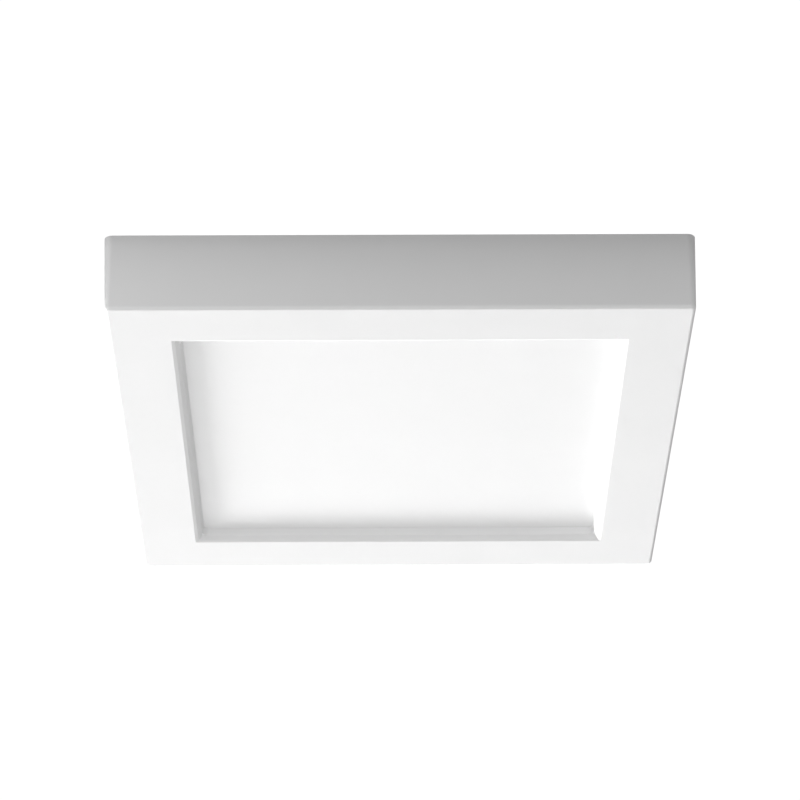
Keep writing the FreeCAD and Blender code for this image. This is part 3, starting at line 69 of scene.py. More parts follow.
class Shader:
    """A node material built round one Principled shader, in object coordinates."""

    def __init__(self, name, colour, roughness, metallic=0.0, **sockets):
        self.material = bpy.data.materials.new(name)
        self.material.use_nodes = True
        self.tree = self.material.node_tree
        self.main = self.tree.nodes["Principled BSDF"]
        self.coordinates = self.add("ShaderNodeTexCoord").outputs["Object"]
        self.set("Base Color", (*colour, 1.0))
        self.set("Roughness", roughness)
        self.set("Metallic", metallic)
        for socket, value in sockets.items():
            self.set(socket.replace("_", " "), value)
        self.colour = colour
        self.roughness = roughness
        self.height = None

    def add(self, kind, **settings):
        """A new node of this kind, with these properties set."""
        node = self.tree.nodes.new(kind)
        for key, value in settings.items():
            setattr(node, key, value)
        return node

    def set(self, socket, value):
        """Set one of the Principled shader's own values."""
        self.main.inputs[socket].default_value = value

    def link(self, source, target):
        """Lead one socket's output into another's input."""
        self.tree.links.new(source, target)

    def noise(self, size, detail=2.0, stretch=(1, 1, 1)):
        """Noise whose lumps are about this size in metres."""
        mapping = self.add("ShaderNodeMapping")
        mapping.inputs["Scale"].default_value = stretch
        self.link(self.coordinates, mapping.inputs["Vector"])
        node = self.add("ShaderNodeTexNoise")
        node.inputs["Scale"].default_value = 1.0 / size
        node.inputs["Detail"].default_value = detail
        self.link(mapping.outputs["Vector"], node.inputs["Vector"])
        return node.outputs["Fac"]

    def cells(self, size, output="Color"):
        """Cells of about this size in metres: a colour for each, or the distance to its middle."""
        node = self.add("ShaderNodeTexVoronoi")
        node.inputs["Scale"].default_value = 1.0 / size
        self.link(self.coordinates, node.inputs["Vector"])
        return node.outputs[output]

    def ramp(self, source, low, high, start=0.0, end=1.0):
        """Map a factor between two numbers or two colours."""
        node = self.add("ShaderNodeMapRange")
        node.inputs["From Min"].default_value = start
        node.inputs["From Max"].default_value = end
        node.inputs["To Min"].default_value = low
        node.inputs["To Max"].default_value = high
        self.link(source, node.inputs["Value"])
        return node.outputs["Result"]

    def mix_colour(self, factor, first, second):
        """The first colour where the factor is 0, the second where it is 1."""
        node = self.add("ShaderNodeMix", data_type="RGBA")
        self.link(factor, node.inputs["Factor"])
        node.inputs["A"].default_value = (*first, 1.0)
        node.inputs["B"].default_value = (*second, 1.0)
        return node.outputs["Result"]

    def vary_colour(self, source, amount, start=0.3, end=0.7):
        """Let the base colour drift a little lighter and darker."""
        low = tuple(max(0.0, channel * (1 - amount)) for channel in self.colour)
        high = tuple(min(1.0, channel * (1 + amount)) for channel in self.colour)
        factor = self.ramp(source, 0.0, 1.0, start, end)
        self.link(self.mix_colour(factor, low, high), self.main.inputs["Base Color"])

    def vary_roughness(self, source, amount, start=0.3, end=0.7):
        """Let the roughness drift up and down by this amount."""
        low, high = self.roughness - amount, self.roughness + amount
        self.link(self.ramp(source, low, high, start, end), self.main.inputs["Roughness"])

    def bump(self, source, depth):
        """Relief of this depth in metres; a second call adds to the first."""
        node = self.add("ShaderNodeBump")
        node.inputs["Distance"].default_value = depth
        self.link(source, node.inputs["Height"])
        if self.height is not None:
            self.link(self.height, node.inputs["Normal"])
        self.height = node.outputs["Normal"]
        self.link(self.height, self.main.inputs["Normal"])


def powder_coat(name, colour):
    """Satin powder coat: fine orange peel over a slow drift."""
    shader = Shader(name, colour, roughness=0.42, Specular_IOR_Level=0.42)
    shader.vary_colour(shader.noise(30 * MM), amount=0.006)
    shader.vary_roughness(shader.noise(8 * MM), amount=0.03)
    shader.bump(shader.noise(0.9 * MM, detail=1.0), depth=0.004 * MM)
    shader.bump(shader.noise(0.25 * MM, detail=1.0), depth=0.0015 * MM)
    return shader.material


def opal_acrylic(name, colour):
    """Satin opal sheet with a faint inner cloudiness."""
    shader = Shader(name, colour, roughness=0.3, Specular_IOR_Level=0.5)
    shader.vary_colour(shader.noise(18 * MM), amount=0.004)
    shader.vary_roughness(shader.noise(5 * MM), amount=0.02)
    shader.bump(shader.noise(0.4 * MM, detail=1.0), depth=0.001 * MM)
    return shader.material


def clear_acrylic(name, colour):
    """Light guide: clear acrylic with rows of printed dots."""
    clear_roughness, dot_roughness = 0.05, 0.6
    dot_white = (0.95, 0.95, 0.95)
    shader = Shader(name, colour, clear_roughness, IOR=1.49, Transmission_Weight=0.9)
    dots = shader.ramp(shader.cells(1.6 * MM, "Distance"), 1.0, 0.0, start=0.18, end=0.26)
    shader.link(shader.mix_colour(dots, colour, dot_white), shader.main.inputs["Base Color"])
    roughness = shader.ramp(dots, clear_roughness, dot_roughness)
    shader.link(roughness, shader.main.inputs["Roughness"])
    return shader.material


def moulded(name, colour, roughness=0.5, grain=0.35, depth=0.006):
    """Moulded plastic with a fine spark-eroded grain, its size and depth in millimetres."""
    shader = Shader(name, colour, roughness)
    shader.vary_colour(shader.noise(12 * MM), amount=0.02)
    shader.vary_roughness(shader.noise(2 * MM), amount=0.05)
    shader.bump(shader.noise(grain * MM, detail=3.0), depth=depth * MM)
    return shader.material


def sheathed(name, colour):
    """Soft PVC sheath, slightly shiny, with faint drag lines."""
    shader = Shader(name, colour, roughness=0.42, Specular_IOR_Level=0.45)
    shader.vary_colour(shader.noise(4 * MM), amount=0.08)
    shader.bump(shader.noise(0.5 * MM, detail=2.0), depth=0.01 * MM)
    return shader.material


def galvanised(name, colour):
    """Zinc-coated sheet with soft spangle and fine rolling lines."""
    shader = Shader(name, colour, roughness=0.42, metallic=1.0)
    spangle = shader.add("ShaderNodeSeparateColor")
    shader.link(shader.cells(5 * MM), spangle.inputs["Color"])
    shader.vary_colour(spangle.outputs["Red"], amount=0.07, start=0.0, end=1.0)
    shader.vary_roughness(spangle.outputs["Green"], amount=0.07, start=0.0, end=1.0)
    shader.bump(shader.noise(0.6 * MM, stretch=(0.06, 1, 1)), depth=0.003 * MM)
    return shader.material


def plated(name, colour, roughness=0.36, metallic=1.0):
    """Plated or dyed screw metal with handling marks."""
    shader = Shader(name, colour, roughness, metallic=metallic)
    shader.vary_colour(shader.noise(1.5 * MM), amount=0.08)
    shader.vary_roughness(shader.noise(0.8 * MM, detail=4.0), amount=0.08)
    shader.bump(shader.noise(0.2 * MM, detail=2.0), depth=0.004 * MM)
    return shader.material


def board_mask(name, colour, trace):
    """Solder mask over copper: broad traces show as a lighter tone."""
    shader = Shader(name, colour, roughness=0.3)
    lines = shader.ramp(shader.cells(7 * MM, "Distance"), 0.0, 1.0, start=0.34, end=0.38)
    shader.link(shader.mix_colour(lines, colour, trace), shader.main.inputs["Base Color"])
    shader.bump(lines, depth=0.03 * MM)
    shader.bump(shader.noise(0.5 * MM), depth=0.004 * MM)
    return shader.material


TAPE_WAVE = 1.0 / (1.2 * MM) / 6.28  # scale of the wave texture for the turns under the tape


def wound_tape(name, colour):
    """Polyester tape over wire, with the turns showing through."""
    shader = Shader(name, colour, roughness=0.25)
    wave = shader.add("ShaderNodeTexWave", bands_direction="X")
    wave.inputs["Scale"].default_value = TAPE_WAVE
    shader.link(shader.coordinates, wave.inputs["Vector"])
    shader.vary_colour(wave.outputs["Fac"], amount=0.12, start=0.0, end=1.0)
    shader.bump(wave.outputs["Fac"], depth=0.05 * MM)
    return shader.material


def phosphor(name, colour):
    """Cured phosphor gel: matt, slightly grainy."""
    shader = Shader(name, colour, roughness=0.55)
    shader.vary_colour(shader.noise(0.3 * MM), amount=0.06)
    shader.bump(shader.noise(0.12 * MM), depth=0.01 * MM)
    return shader.material


# For each slot of the record: the maker of its finish, its base colour, and what else it takes.
FINISHES = {
    "white_casting": (powder_coat, (0.86, 0.86, 0.86), {}),
    "opal_sheet": (opal_acrylic, (0.925, 0.925, 0.925), {}),
    "clear_guide": (clear_acrylic, (0.9, 0.95, 0.96), {}),
    "white_film": (moulded, (0.9, 0.9, 0.9), {"roughness": 0.45, "grain": 0.2, "depth": 0.002}),
    "strip_board": (board_mask, (0.86, 0.86, 0.84), {"trace": (0.9, 0.89, 0.85)}),
    "led_chip": (phosphor, (0.92, 0.68, 0.16), {}),
    "link_ribbon": (moulded, (0.85, 0.84, 0.78), {"roughness": 0.4, "grain": 0.2, "depth": 0.003}),
    "galvanised_plate": (galvanised, (0.74, 0.75, 0.77), {}),
    "zinc_screw": (plated, (0.76, 0.77, 0.79), {}),
    "black_screw": (plated, (0.05, 0.05, 0.055), {"roughness": 0.35}),
    "bracket_steel": (galvanised, (0.68, 0.70, 0.72), {}),
    "green_screw": (plated, (0.06, 0.30, 0.12), {"roughness": 0.3, "metallic": 0.6}),
    "case_plastic": (moulded, (0.78, 0.78, 0.75), {}),
    "case_base": (moulded, (0.72, 0.72, 0.69), {}),
    "circuit_board": (board_mask, (0.02, 0.14, 0.05), {"trace": (0.04, 0.24, 0.09)}),
    "fuse_body": (moulded, (0.70, 0.62, 0.46), {"roughness": 0.25, "grain": 0.5, "depth": 0.004}),
    "film_capacitor": (moulded, (0.80, 0.55, 0.04), {"roughness": 0.3, "grain": 0.6}),
    "ferrite": (moulded, (0.03, 0.03, 0.033), {"roughness": 0.6, "grain": 0.3, "depth": 0.02}),
    "copper_winding": (wound_tape, (0.72, 0.47, 0.06), {}),
    "black_package": (moulded, (0.015, 0.015, 0.017), {"grain": 0.3, "depth": 0.01}),
    "can_sleeve": (moulded, (0.02, 0.03, 0.10), {"roughness": 0.28, "grain": 0.8, "depth": 0.004}),
    "mains_sheath": (sheathed, (0.02, 0.02, 0.022), {}),
    "earth_sheath": (sheathed, (0.04, 0.26, 0.05), {}),
    "low_voltage_sheath": (sheathed, (0.45, 0.02, 0.015), {}),
    "tinned_brass": (plated, (0.72, 0.68, 0.55), {"roughness": 0.3}),
    "terminal_plastic": (moulded, (0.74, 0.74, 0.72), {"roughness": 0.42}),
    "button_plastic": (moulded, (0.80, 0.22, 0.02), {"roughness": 0.4}),
}

finishes = {
    slot: make(slot, colour, **settings) for slot, (make, colour, settings) in FINISHES.items()
}


def dress_nodes():
    """Give every CAD node the finish that its record slot names."""
    for subpart in frame["record"]["subparts"]:
        node = frame["nodes"][subpart["node"]]
        node.data.materials.clear()
        node.data.materials.append(finishes[subpart["material_slot"]])


# ---------------------------------------------------------------- mesh building


X_AXIS = Vector((1, 0, 0))
Y_AXIS = Vector((0, 1, 0))
Z_AXIS = Vector((0, 0, 1))
ROUND = 36  # points round a turned piece
SHARP_EDGE = math.radians(40)
RIDGE_SLOPE = 2.4  # how many times its depth a thread's flank would rise in one pitch


class Form:
    """A mesh being built, in the frame's metres."""

    def __init__(self):
        self.mesh = bmesh.new()

    def skin(self, loops, joined=False):
        """Faces between loops with as many points each.

        The ends are capped, or where it is joined the last loop goes on to the first.
        """
        rings = [[self.mesh.verts.new(point) for point in loop] for loop in loops]
        following = rings[1:] + rings[:1] if joined else rings[1:]
        for first, second in zip(rings, following):
            for index in range(len(first)):
                after = (index + 1) % len(first)
                self.mesh.faces.new((first[index], first[after], second[after], second[index]))
        if not joined:
            self.mesh.faces.new(rings[0][::-1])
            self.mesh.faces.new(rings[-1])

    def turn(self, centre, axis, profile, radius_at=None, joined=False):
        """Revolve (distance along the axis, radius) pairs, both in millimetres.

        radius_at(distance, radius, angle) may change the radius from place to place.
        """
        side = axis.orthogonal().normalized()
        other = axis.cross(side)
        loops = []
        for distance, radius in profile:
            loop = []
            for index in range(ROUND):
                angle = math.tau * index / ROUND
                reach = radius_at(distance, radius, angle) if radius_at else radius
                outward = side * math.cos(angle) + other * math.sin(angle)
                loop.append(centre + axis * distance * MM + outward * reach * MM)
            loops.append(loop)
        self.skin(loops, joined)

    def block(self, centre, size, taper=1.0):
        """A block with its top drawn in by the taper, centre and size in metres."""
        x, y, z = (length / 2 for length in size)
        loops = []
        for level, share in ((-z, 1.0), (z, taper)):
            corners = ((-x, -y), (x, -y), (x, y), (-x, y))
            loops.append([centre + Vector((a * share, b * share, level)) for a, b in corners])
        self.skin(loops)

    def strip(self, path, across, thick):
        """A flat strip of this width vector and thickness vector along a path."""
        loops = []
        for point in path:
            low, high = point - thick / 2, point + thick / 2
            loops.append([low - across / 2, low + across / 2, high + across / 2, high - across / 2])
        self.skin(loops)

    def piece(self, name, body, slot, bevel=0.0):
        """Make the object: beveled by this many millimetres, finished, and riding on its body."""
        bmesh.ops.recalc_face_normals(self.mesh, faces=self.mesh.faces[:])
        data = bpy.data.meshes.new(name)
        self.mesh.to_mesh(data)
        self.mesh.free()
        made = bpy.data.objects.new(name, data)
        bpy.context.scene.collection.objects.link(made)
        for polygon in data.polygons:
            polygon.use_smooth = True
        if bevel:
            modifier = made.modifiers.new("bevel", "BEVEL")
            modifier.width = bevel * MM
            modifier.segments = 2
            modifier.harden_normals = True
        else:
            data.set_sharp_from_angle(angle=SHARP_EDGE)
        data.materials.append(finishes[slot])
        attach(made, body)
        return made


def thread(root, crest, pitch, taper_from):
    """Radius of a helical thread that fades out past a distance, for Form.turn."""

    def radius_at(distance, radius, angle):
        turn = (distance / pitch - angle / math.tau) % 1.0
        ridge = root + (crest - root) * min(1.0, RIDGE_SLOPE * min(turn, 1.0 - turn))
        return min(ridge, radius) if distance < taper_from else radius

    return radius_at


def steps(start, end, count):
    """Evenly spaced numbers from start to end, with this many gaps between them."""
    return [start + (end - start) * index / count for index in range(count + 1)]


# ---------------------------------------------------------------- fasteners and fittings


# Studs, in millimetres.
STUD_PITCH = 0.5
STUD_RADIUS = 1.5
STUD_ROOT = 1.36
STUD_CHAMFER = 0.3
STUD_STEPS = 60
STUD_RUNOUT = 0.1  # the thread stops this far from the end


def make_studs():
    """Both welded studs, threaded from the plate up, each with a chamfered end."""
    low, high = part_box("plate_studs")
    reach = STUD_RADIUS * MM
    height = (high.z - low.z) / MM
    profile = [(distance, STUD_RADIUS) for distance in steps(0, height - STUD_CHAMFER, STUD_STEPS)]
    profile.append((height, STUD_RADIUS - STUD_CHAMFER))
    ridge = thread(STUD_ROOT, STUD_RADIUS, STUD_PITCH, height - STUD_RUNOUT)
    form = Form()
    for x, y in ((low.x + reach, high.y - reach), (high.x - reach, low.y + reach)):
        form.turn(Vector((x, y, low.z)), Z_AXIS, profile, ridge)
    piece = form.piece("threaded_studs", "fixture", "zinc_screw")
    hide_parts("plate_studs")


# Side screws, in millimetres.
SET_PITCH = 0.7
SET_RADIUS = 2.0
SET_ROOT = 1.72
SET_STEPS = 56
SET_CHAMFER_LONG = 0.3
SET_CHAMFER_DEEP = 0.25
SET_RUNOUT = 0.2  # the thread stops this far from the outer end
SOCKET_HALF = 1.0  # from the axis to a flat of the socket
SOCKET_DEEP = 2.0
SOCKET_CHAMFER = 0.15
CONE_LONG = 1.0
POINT_RADIUS = 1.0
HEXAGON_HALF = math.radians(30)


def make_set_screw(node, body, side):
    """Set screw: cone point inside, helical thread, hexagon socket in its outer end."""
    low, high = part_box(node)
    tip = Vector((low.x if side > 0 else high.x, (low.y + high.y) / 2, (low.z + high.z) / 2))
    length = (high.x - low.x) / MM
    socket = SOCKET_HALF / math.cos(HEXAGON_HALF)
    shank = steps(CONE_LONG, length - SET_CHAMFER_LONG, SET_STEPS)
    profile = [(0.0, POINT_RADIUS)]
    profile += [(distance, SET_RADIUS) for distance in shank]
    profile += [
        (length, SET_RADIUS - SET_CHAMFER_DEEP),
        (length, socket + SOCKET_CHAMFER),
        (length - SOCKET_CHAMFER, socket),
        (length - SOCKET_DEEP, socket),
    ]
    ridge = thread(SET_ROOT, SET_RADIUS, SET_PITCH, length - SET_RUNOUT)

    def radius_at(distance, radius, angle):
        """Thread outside; the socket, and the point's small flat, are hexagons."""
        if radius > socket:
            return ridge(distance, radius, angle)
        from_flat = (angle + HEXAGON_HALF) % (2 * HEXAGON_HALF) - HEXAGON_HALF
        return SOCKET_HALF / math.cos(from_flat)

    form = Form()
    form.turn(tip, X_AXIS * side, profile, radius_at)
    piece = form.piece(node.replace("set_screw", "threaded_set_screw"), body, "black_screw")
    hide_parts(node)


# Earth tag and leads, in millimetres.
TAG_THICK = 0.8
TAG_HOLE = 1.65
TAG_EDGE = 0.12
NECK_SHIFT = 2.4  # from the tag's middle back to the neck's
NECK_LONGER = 1.2  # than the barrel
CRIMP_LONG = 3.5
CRIMP_WALL = 0.5
CRIMP_EDGE_LONG = 0.1
CRIMP_EDGE_DEEP = 0.15
CRIMP_STEPS = 24
DENT_DEEP = 0.4
DENT_HALF = 0.6  # from the dent's middle to where it is about a third as deep
DENT_NARROWING = 8  # the higher, the narrower the dent is round the barrel
LEAD_RADIUS = 1.0


def make_earth_tag():
    """Ring tag with rounded edges and a barrel pressed in at its middle."""
    low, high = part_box("earth_tag")
    ring = (high.x - low.x) / MM / 2
    centre = Vector(((low.x + high.x) / 2, high.y - ring * MM, low.z))
    profile = [
        (0.0, TAG_HOLE + TAG_EDGE),
        (0.0, ring - TAG_EDGE),
        (TAG_EDGE, ring),
        (TAG_THICK - TAG_EDGE, ring),
        (TAG_THICK, ring - TAG_EDGE),
        (TAG_THICK, TAG_HOLE + TAG_EDGE),
        (TAG_THICK - TAG_EDGE, TAG_HOLE),
        (TAG_EDGE, TAG_HOLE),
    ]
    form = Form()
    form.turn(centre, Z_AXIS, profile, joined=True)
    outer = LEAD_RADIUS + CRIMP_WALL
    neck_y = (low.y + high.y) / 2 - NECK_SHIFT * MM
    neck = Vector((centre.x, neck_y, low.z + TAG_THICK * MM / 2))
    neck_long = CRIMP_LONG * MM + NECK_LONGER * MM
    form.block(neck, (2 * outer * MM, neck_long, TAG_THICK * MM))
    side = Y_AXIS.orthogonal().normalized()
    crown = math.atan2(Y_AXIS.cross(side).z, side.z)

    def pressed(distance, radius, angle):
        """The barrel's outside with one dent in its crown; its bore stays round."""
        if radius <= LEAD_RADIUS:
            return radius
        along = math.exp(-(((distance - CRIMP_LONG / 2) / DENT_HALF) ** 2))
        upward = max(0.0, math.cos(angle - crown)) ** DENT_NARROWING
        return radius - DENT_DEEP * along * upward

    round_part = steps(CRIMP_EDGE_LONG, CRIMP_LONG - CRIMP_EDGE_LONG, CRIMP_STEPS)
    barrel = [(0.0, outer - CRIMP_EDGE_DEEP)]
    barrel += [(distance, outer) for distance in round_part]
    barrel += [
        (CRIMP_LONG, outer - CRIMP_EDGE_DEEP),
        (CRIMP_LONG, LEAD_RADIUS),
        (0.0, LEAD_RADIUS),
    ]
    start = Vector((centre.x, low.y, low.z + (TAG_THICK + LEAD_RADIUS) * MM))
    form.turn(start, Y_AXIS, barrel, pressed, joined=True)
    piece = form.piece("crimped_earth_tag", "fixture", "tinned_brass")
    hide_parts("earth_tag")


# Distances along the axis and radii, in millimetres.
COLLAR = ((0.0, 1.95), (-0.5, 1.85), (-1.3, 1.35), (-1.4, 1.2), (-1.3, 1.05), (0.0, 1.05))
SOLDER_FILLET = ((-0.7, 0.92), (-0.5, 0.97), (-0.3, 1.06), (-0.12, 1.25), (0.0, 1.5))


def make_lead_collars():
    """Moulded collars where the two mains leads go into the driver's cover."""
    low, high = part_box("mains_leads")
    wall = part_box("driver_cover")[0].x
    level = (low.z + high.z) / 2
    form = Form()
    for y in (low.y + LEAD_RADIUS * MM, high.y - LEAD_RADIUS * MM):
        form.turn(Vector((wall, y, level)), X_AXIS, COLLAR, joined=True)
    form.piece("lead_collars", "fixture", "case_base")


def make_tongue_solder():
    """Two solder fillets where the low-voltage lead meets the strip board's tongue."""
    low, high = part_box("led_lead")
    centre = (low + high) / 2
    quarter = (high.y - low.y) / 4
    form = Form()
    for side in (-1, 1):
        place = Vector((high.x, centre.y + side * quarter, centre.z))
        form.turn(place, X_AXIS, SOLDER_FILLET)
    form.piece("tongue_solder", "fixture", "zinc_screw")


# Rim and ribs on the driver's cover, in millimetres.
PANEL_INSET = 6.0  # from the cover's sides to the rim
PANEL_ROUND = 3.0
PANEL_RIM = 0.5
PANEL_RISE = 0.3
PANEL_SLOPE = 0.1
PANEL_SUNK = 0.05  # how far the rim goes into the cover
CORNER_STEPS = 8
RIB_COUNT = 3
RIB_FIRST = 1.4  # from the rim to the first rib
RIB_SPACING = 1.2
RIB_WIDTH = 0.5
RIB_SHORTER = 4.0  # than the rim is wide
RIB_TAPER = 0.92


def rounded_loop(centre, half_x, half_y, radius, level):
    """Points of a rounded rectangle, its sizes in millimetres."""
    points = []
    for quarter, (x, y) in enumerate(((1, 1), (-1, 1), (-1, -1), (1, -1))):
        corner = Vector((x * (half_x - radius), y * (half_y - radius), level))
        for index in range(CORNER_STEPS + 1):
            angle = math.radians(90 * quarter + 90 * index / CORNER_STEPS)
            offset = Vector((math.cos(angle), math.sin(angle), 0)) * radius
            points.append(centre + (corner + offset) * MM)
    return points


def make_cover_rim():
    """Slim moulded rim round a bare panel on the driver's cover, and ribs at each end."""
    low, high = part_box("driver_cover")
    centre = Vector(((low.x + high.x) / 2, (low.y + high.y) / 2, high.z))
    half_x = (high.x - low.x) / MM / 2 - PANEL_INSET
    half_y = (high.y - low.y) / MM / 2 - PANEL_INSET
    form = Form()
    section = (
        (0.0, -PANEL_SUNK),
        (PANEL_SLOPE, PANEL_RISE),
        (PANEL_RIM - PANEL_SLOPE, PANEL_RISE),
        (PANEL_RIM, -PANEL_SUNK),
    )
    loops = [
        rounded_loop(centre, half_x - inset, half_y - inset, PANEL_ROUND - inset, level)
        for inset, level in section
    ]
    form.skin(loops, joined=True)
    for side in (-1, 1):
        for index in range(RIB_COUNT):
            place = centre + X_AXIS * side * (half_x + RIB_FIRST + RIB_SPACING * index) * MM
            size = Vector((RIB_WIDTH, 2 * half_y - RIB_SHORTER, 2 * PANEL_RISE)) * MM
            form.block(place, size, taper=RIB_TAPER)
    form.piece("cover_rim", "fixture", "case_plastic")


# ---------------------------------------------------------------- inside the driver


# Can capacitors, in millimetres. The foot and neck go by the distance from the foot's end, the
# top by the distance from the other end, each with how far the sleeve is drawn in there.
CAN_FOOT = ((0.3, 0.9), (0.1, 0.5), (0.0, 0.35), (0.35, 0.0))
CAN_NECK = ((1.2, 0.0), (1.6, 0.3), (1.9, 0.42), (2.2, 0.3), (2.6, 0.0))
CAN_TOP = ((0.4, 0.0), (0.05, 0.3), (0.05, 0.9))
CAN_DISC_SUNK = 0.1
CAN_DISC_THICK = 0.12
CAN_DISC_INSET = 0.7
CAN_DISC_SLOPE = 0.05
CAN_HUB = 0.3
SCORE_COUNT = 3
SCORE_INSET = 1.2
SCORE_LEVEL = 0.13
SCORE_WIDTH = 0.18
SCORE_THICK = 0.06


def make_can(node):
    """Can capacitor: shrink sleeve with a rolled neck, and a scored metal end."""
    low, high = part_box(node)
    radius = (high.x - low.x) / MM / 2
    length = (high.y - low.y) / MM
    start = Vector(((low.x + high.x) / 2, low.y, (low.z + high.z) / 2))
    profile = [(distance, radius - inset) for distance, inset in CAN_FOOT + CAN_NECK]
    profile += [(length - distance, radius - inset) for distance, inset in CAN_TOP]
    sleeve = Form()
    sleeve.turn(start, Y_AXIS, profile)
    piece = sleeve.piece(node + "_sleeve", "fixture", "can_sleeve")
    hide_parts(node)
    end = Form()
    disc = [
        (0.0, radius - CAN_DISC_INSET),
        (CAN_DISC_THICK, radius - (CAN_DISC_INSET + CAN_DISC_SLOPE)),
        (CAN_DISC_THICK, CAN_HUB),
    ]
    face = start + Y_AXIS * (length - CAN_DISC_SUNK) * MM
    end.turn(face, Y_AXIS, disc)
    hub = face + Y_AXIS * SCORE_LEVEL * MM
    for index in range(SCORE_COUNT):
        angle = math.radians(360 / SCORE_COUNT * index + 90)
        arm = Vector((math.cos(angle), 0, math.sin(angle)))
        path = [hub, hub + arm * (radius - SCORE_INSET) * MM]
        end.strip(path, arm.cross(Y_AXIS) * SCORE_WIDTH * MM, Y_AXIS * SCORE_THICK * MM)
    end.piece(node + "_end", "fixture", "zinc_screw")


# Distance along the fuse from its end, and how far the cap stands out there, in millimetres.
FUSE_CAP = ((-2.4, -0.02), (-2.4, 0.08), (-0.2, 0.08), (0.03, -0.1), (0.05, -0.5))


def make_fuse_caps():
    """Pressed metal caps over both ends of the fuse."""
    low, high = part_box("fuse")
    centre = (low + high) / 2
    radius = (high.x - low.x) / MM / 2
    profile = [(distance, radius + proud) for distance, proud in FUSE_CAP]
    form = Form()
    for side in (-1, 1):
        end = Vector((centre.x, high.y if side > 0 else low.y, centre.z))
        form.turn(end, Y_AXIS * side, profile)
    form.piece("fuse_caps", "fixture", "zinc_screw")


# Choke winding, in millimetres.
WIRE = 0.42
WIRE_STEPS = 6  # points over one turn's bulge
DRUM_RADIUS = 3.2
DRUM_FOOT = 1.8
DRUM_HEAD = 0.8
DRUM_SUNK = 0.1  # how far the winding's ends go into the drum


def make_choke_winding():
    """Enamelled wire round the choke's drum, a turn beside a turn."""
    low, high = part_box("choke")
    rise = (high.z - low.z) / MM - DRUM_FOOT - DRUM_HEAD
    turns = int(rise / WIRE)
    centre = Vector(((low.x + high.x) / 2, (low.y + high.y) / 2, low.z + DRUM_FOOT * MM))
    profile = [(0.0, DRUM_RADIUS - DRUM_SUNK)]
    for index in range(turns * WIRE_STEPS + 1):
        bulge = abs(math.sin(math.pi * index / WIRE_STEPS))
        profile.append((index * WIRE / WIRE_STEPS, DRUM_RADIUS + WIRE / 2 * bulge))
    profile.append((turns * WIRE, DRUM_RADIUS - DRUM_SUNK))
    form = Form()
    form.turn(centre, Z_AXIS, profile)
    form.piece("choke_winding", "fixture", "copper_winding")


# Transformer, in millimetres.
FLANGE_INSET = 0.3
FLANGE_WIDER = 1.0  # than the winding
FLANGE_THICK = 0.8
FLANGE_LOWER = 0.1  # than the winding
PIN_COUNT = 5
PIN_OUT = 2.6  # from the winding's end to the row of pins
PIN_SOLDER = ((-0.6, 0.25), (-0.45, 0.4), (-0.1, 0.75), (0.0, 0.8))  # distances and radii


def make_bobbin():
    """Bobbin flanges at both ends of the transformer's winding, and the solder on its pins."""
    low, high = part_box("transformer_winding")
    wide = high.x - low.x + FLANGE_WIDER * MM
    tall = high.z - low.z - FLANGE_LOWER * MM
    form = Form()
    for y in (low.y + FLANGE_INSET * MM, high.y - FLANGE_INSET * MM):
        place = Vector(((low.x + high.x) / 2, y, (low.z + high.z) / 2))
        form.block(place, (wide, FLANGE_THICK * MM, tall))
    form.piece("bobbin_flanges", "fixture", "black_package", bevel=0.15)
    pins = Form()
    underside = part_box("driver_board")[0].z
    for y in (low.y - PIN_OUT * MM, high.y + PIN_OUT * MM):
        for index in range(PIN_COUNT):
            x = low.x + (high.x - low.x) * (index + 0.5) / PIN_COUNT
            place = Vector((x, y, underside))
            pins.turn(place, Z_AXIS, PIN_SOLDER)
    pins.piece("transformer_solder", "fixture", "zinc_screw")


# Chip legs, in millimetres.
LEG_COUNT = 4
LEG_WIDTH = 0.45
LEG_THICK = 0.14
LEG_SHOULDER = 0.35
LEG_HEEL = 0.55
LEG_TOE = 1.0
LEG_SHARE = 0.55  # the legs come out at this share of the chip's height
LEG_FOOT = 0.12  # from the chip's underside up to the foot's middle


def make_chip_legs():
    """Bent legs on both long sides of the control chip."""
    low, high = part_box("control_chip")
    top = low.z + (high.z - low.z) * LEG_SHARE
    foot = low.z + LEG_FOOT * MM
    form = Form()
    for side, edge in ((-1, low.y), (1, high.y)):
        for index in range(LEG_COUNT):
            x = low.x + (high.x - low.x) * (index + 0.5) / LEG_COUNT
            path = [
                Vector((x, edge, top)),
                Vector((x, edge + side * LEG_SHOULDER * MM, top)),
                Vector((x, edge + side * LEG_HEEL * MM, foot)),
                Vector((x, edge + side * LEG_TOE * MM, foot)),
            ]
            form.strip(path, X_AXIS * LEG_WIDTH * MM, Z_AXIS * LEG_THICK * MM)
    form.piece("chip_legs", "fixture", "zinc_screw")


# Chip resistors, in millimetres.
RESISTOR_COUNT = 9
RESISTOR = Vector((1.4, 1.2, 0.5))
RESISTOR_END = Vector((0.4, 1.25, 0.55))
RESISTOR_END_OUT = 0.85  # from the resistor's middle to its end's
RESISTOR_INSET = 1.8  # from the board's edge
RESISTOR_LEVEL = 0.25


def make_small_parts():
    """A row of chip resistors with plated ends along the board's free edge."""
    low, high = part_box("driver_board")
    bodies = Form()
    ends = Form()
    for index in range(RESISTOR_COUNT):
        x = low.x + (high.x - low.x) * (index + 1.0) / (RESISTOR_COUNT + 1)
        place = Vector((x, low.y + RESISTOR_INSET * MM, high.z + RESISTOR_LEVEL * MM))
        bodies.block(place, RESISTOR * MM)
        for side in (-1, 1):
            ends.block(place + X_AXIS * side * RESISTOR_END_OUT * MM, RESISTOR_END * MM)
    bodies.piece("chip_resistors", "fixture", "black_package", bevel=0.06)
    ends.piece("resistor_ends", "fixture", "zinc_screw", bevel=0.08)


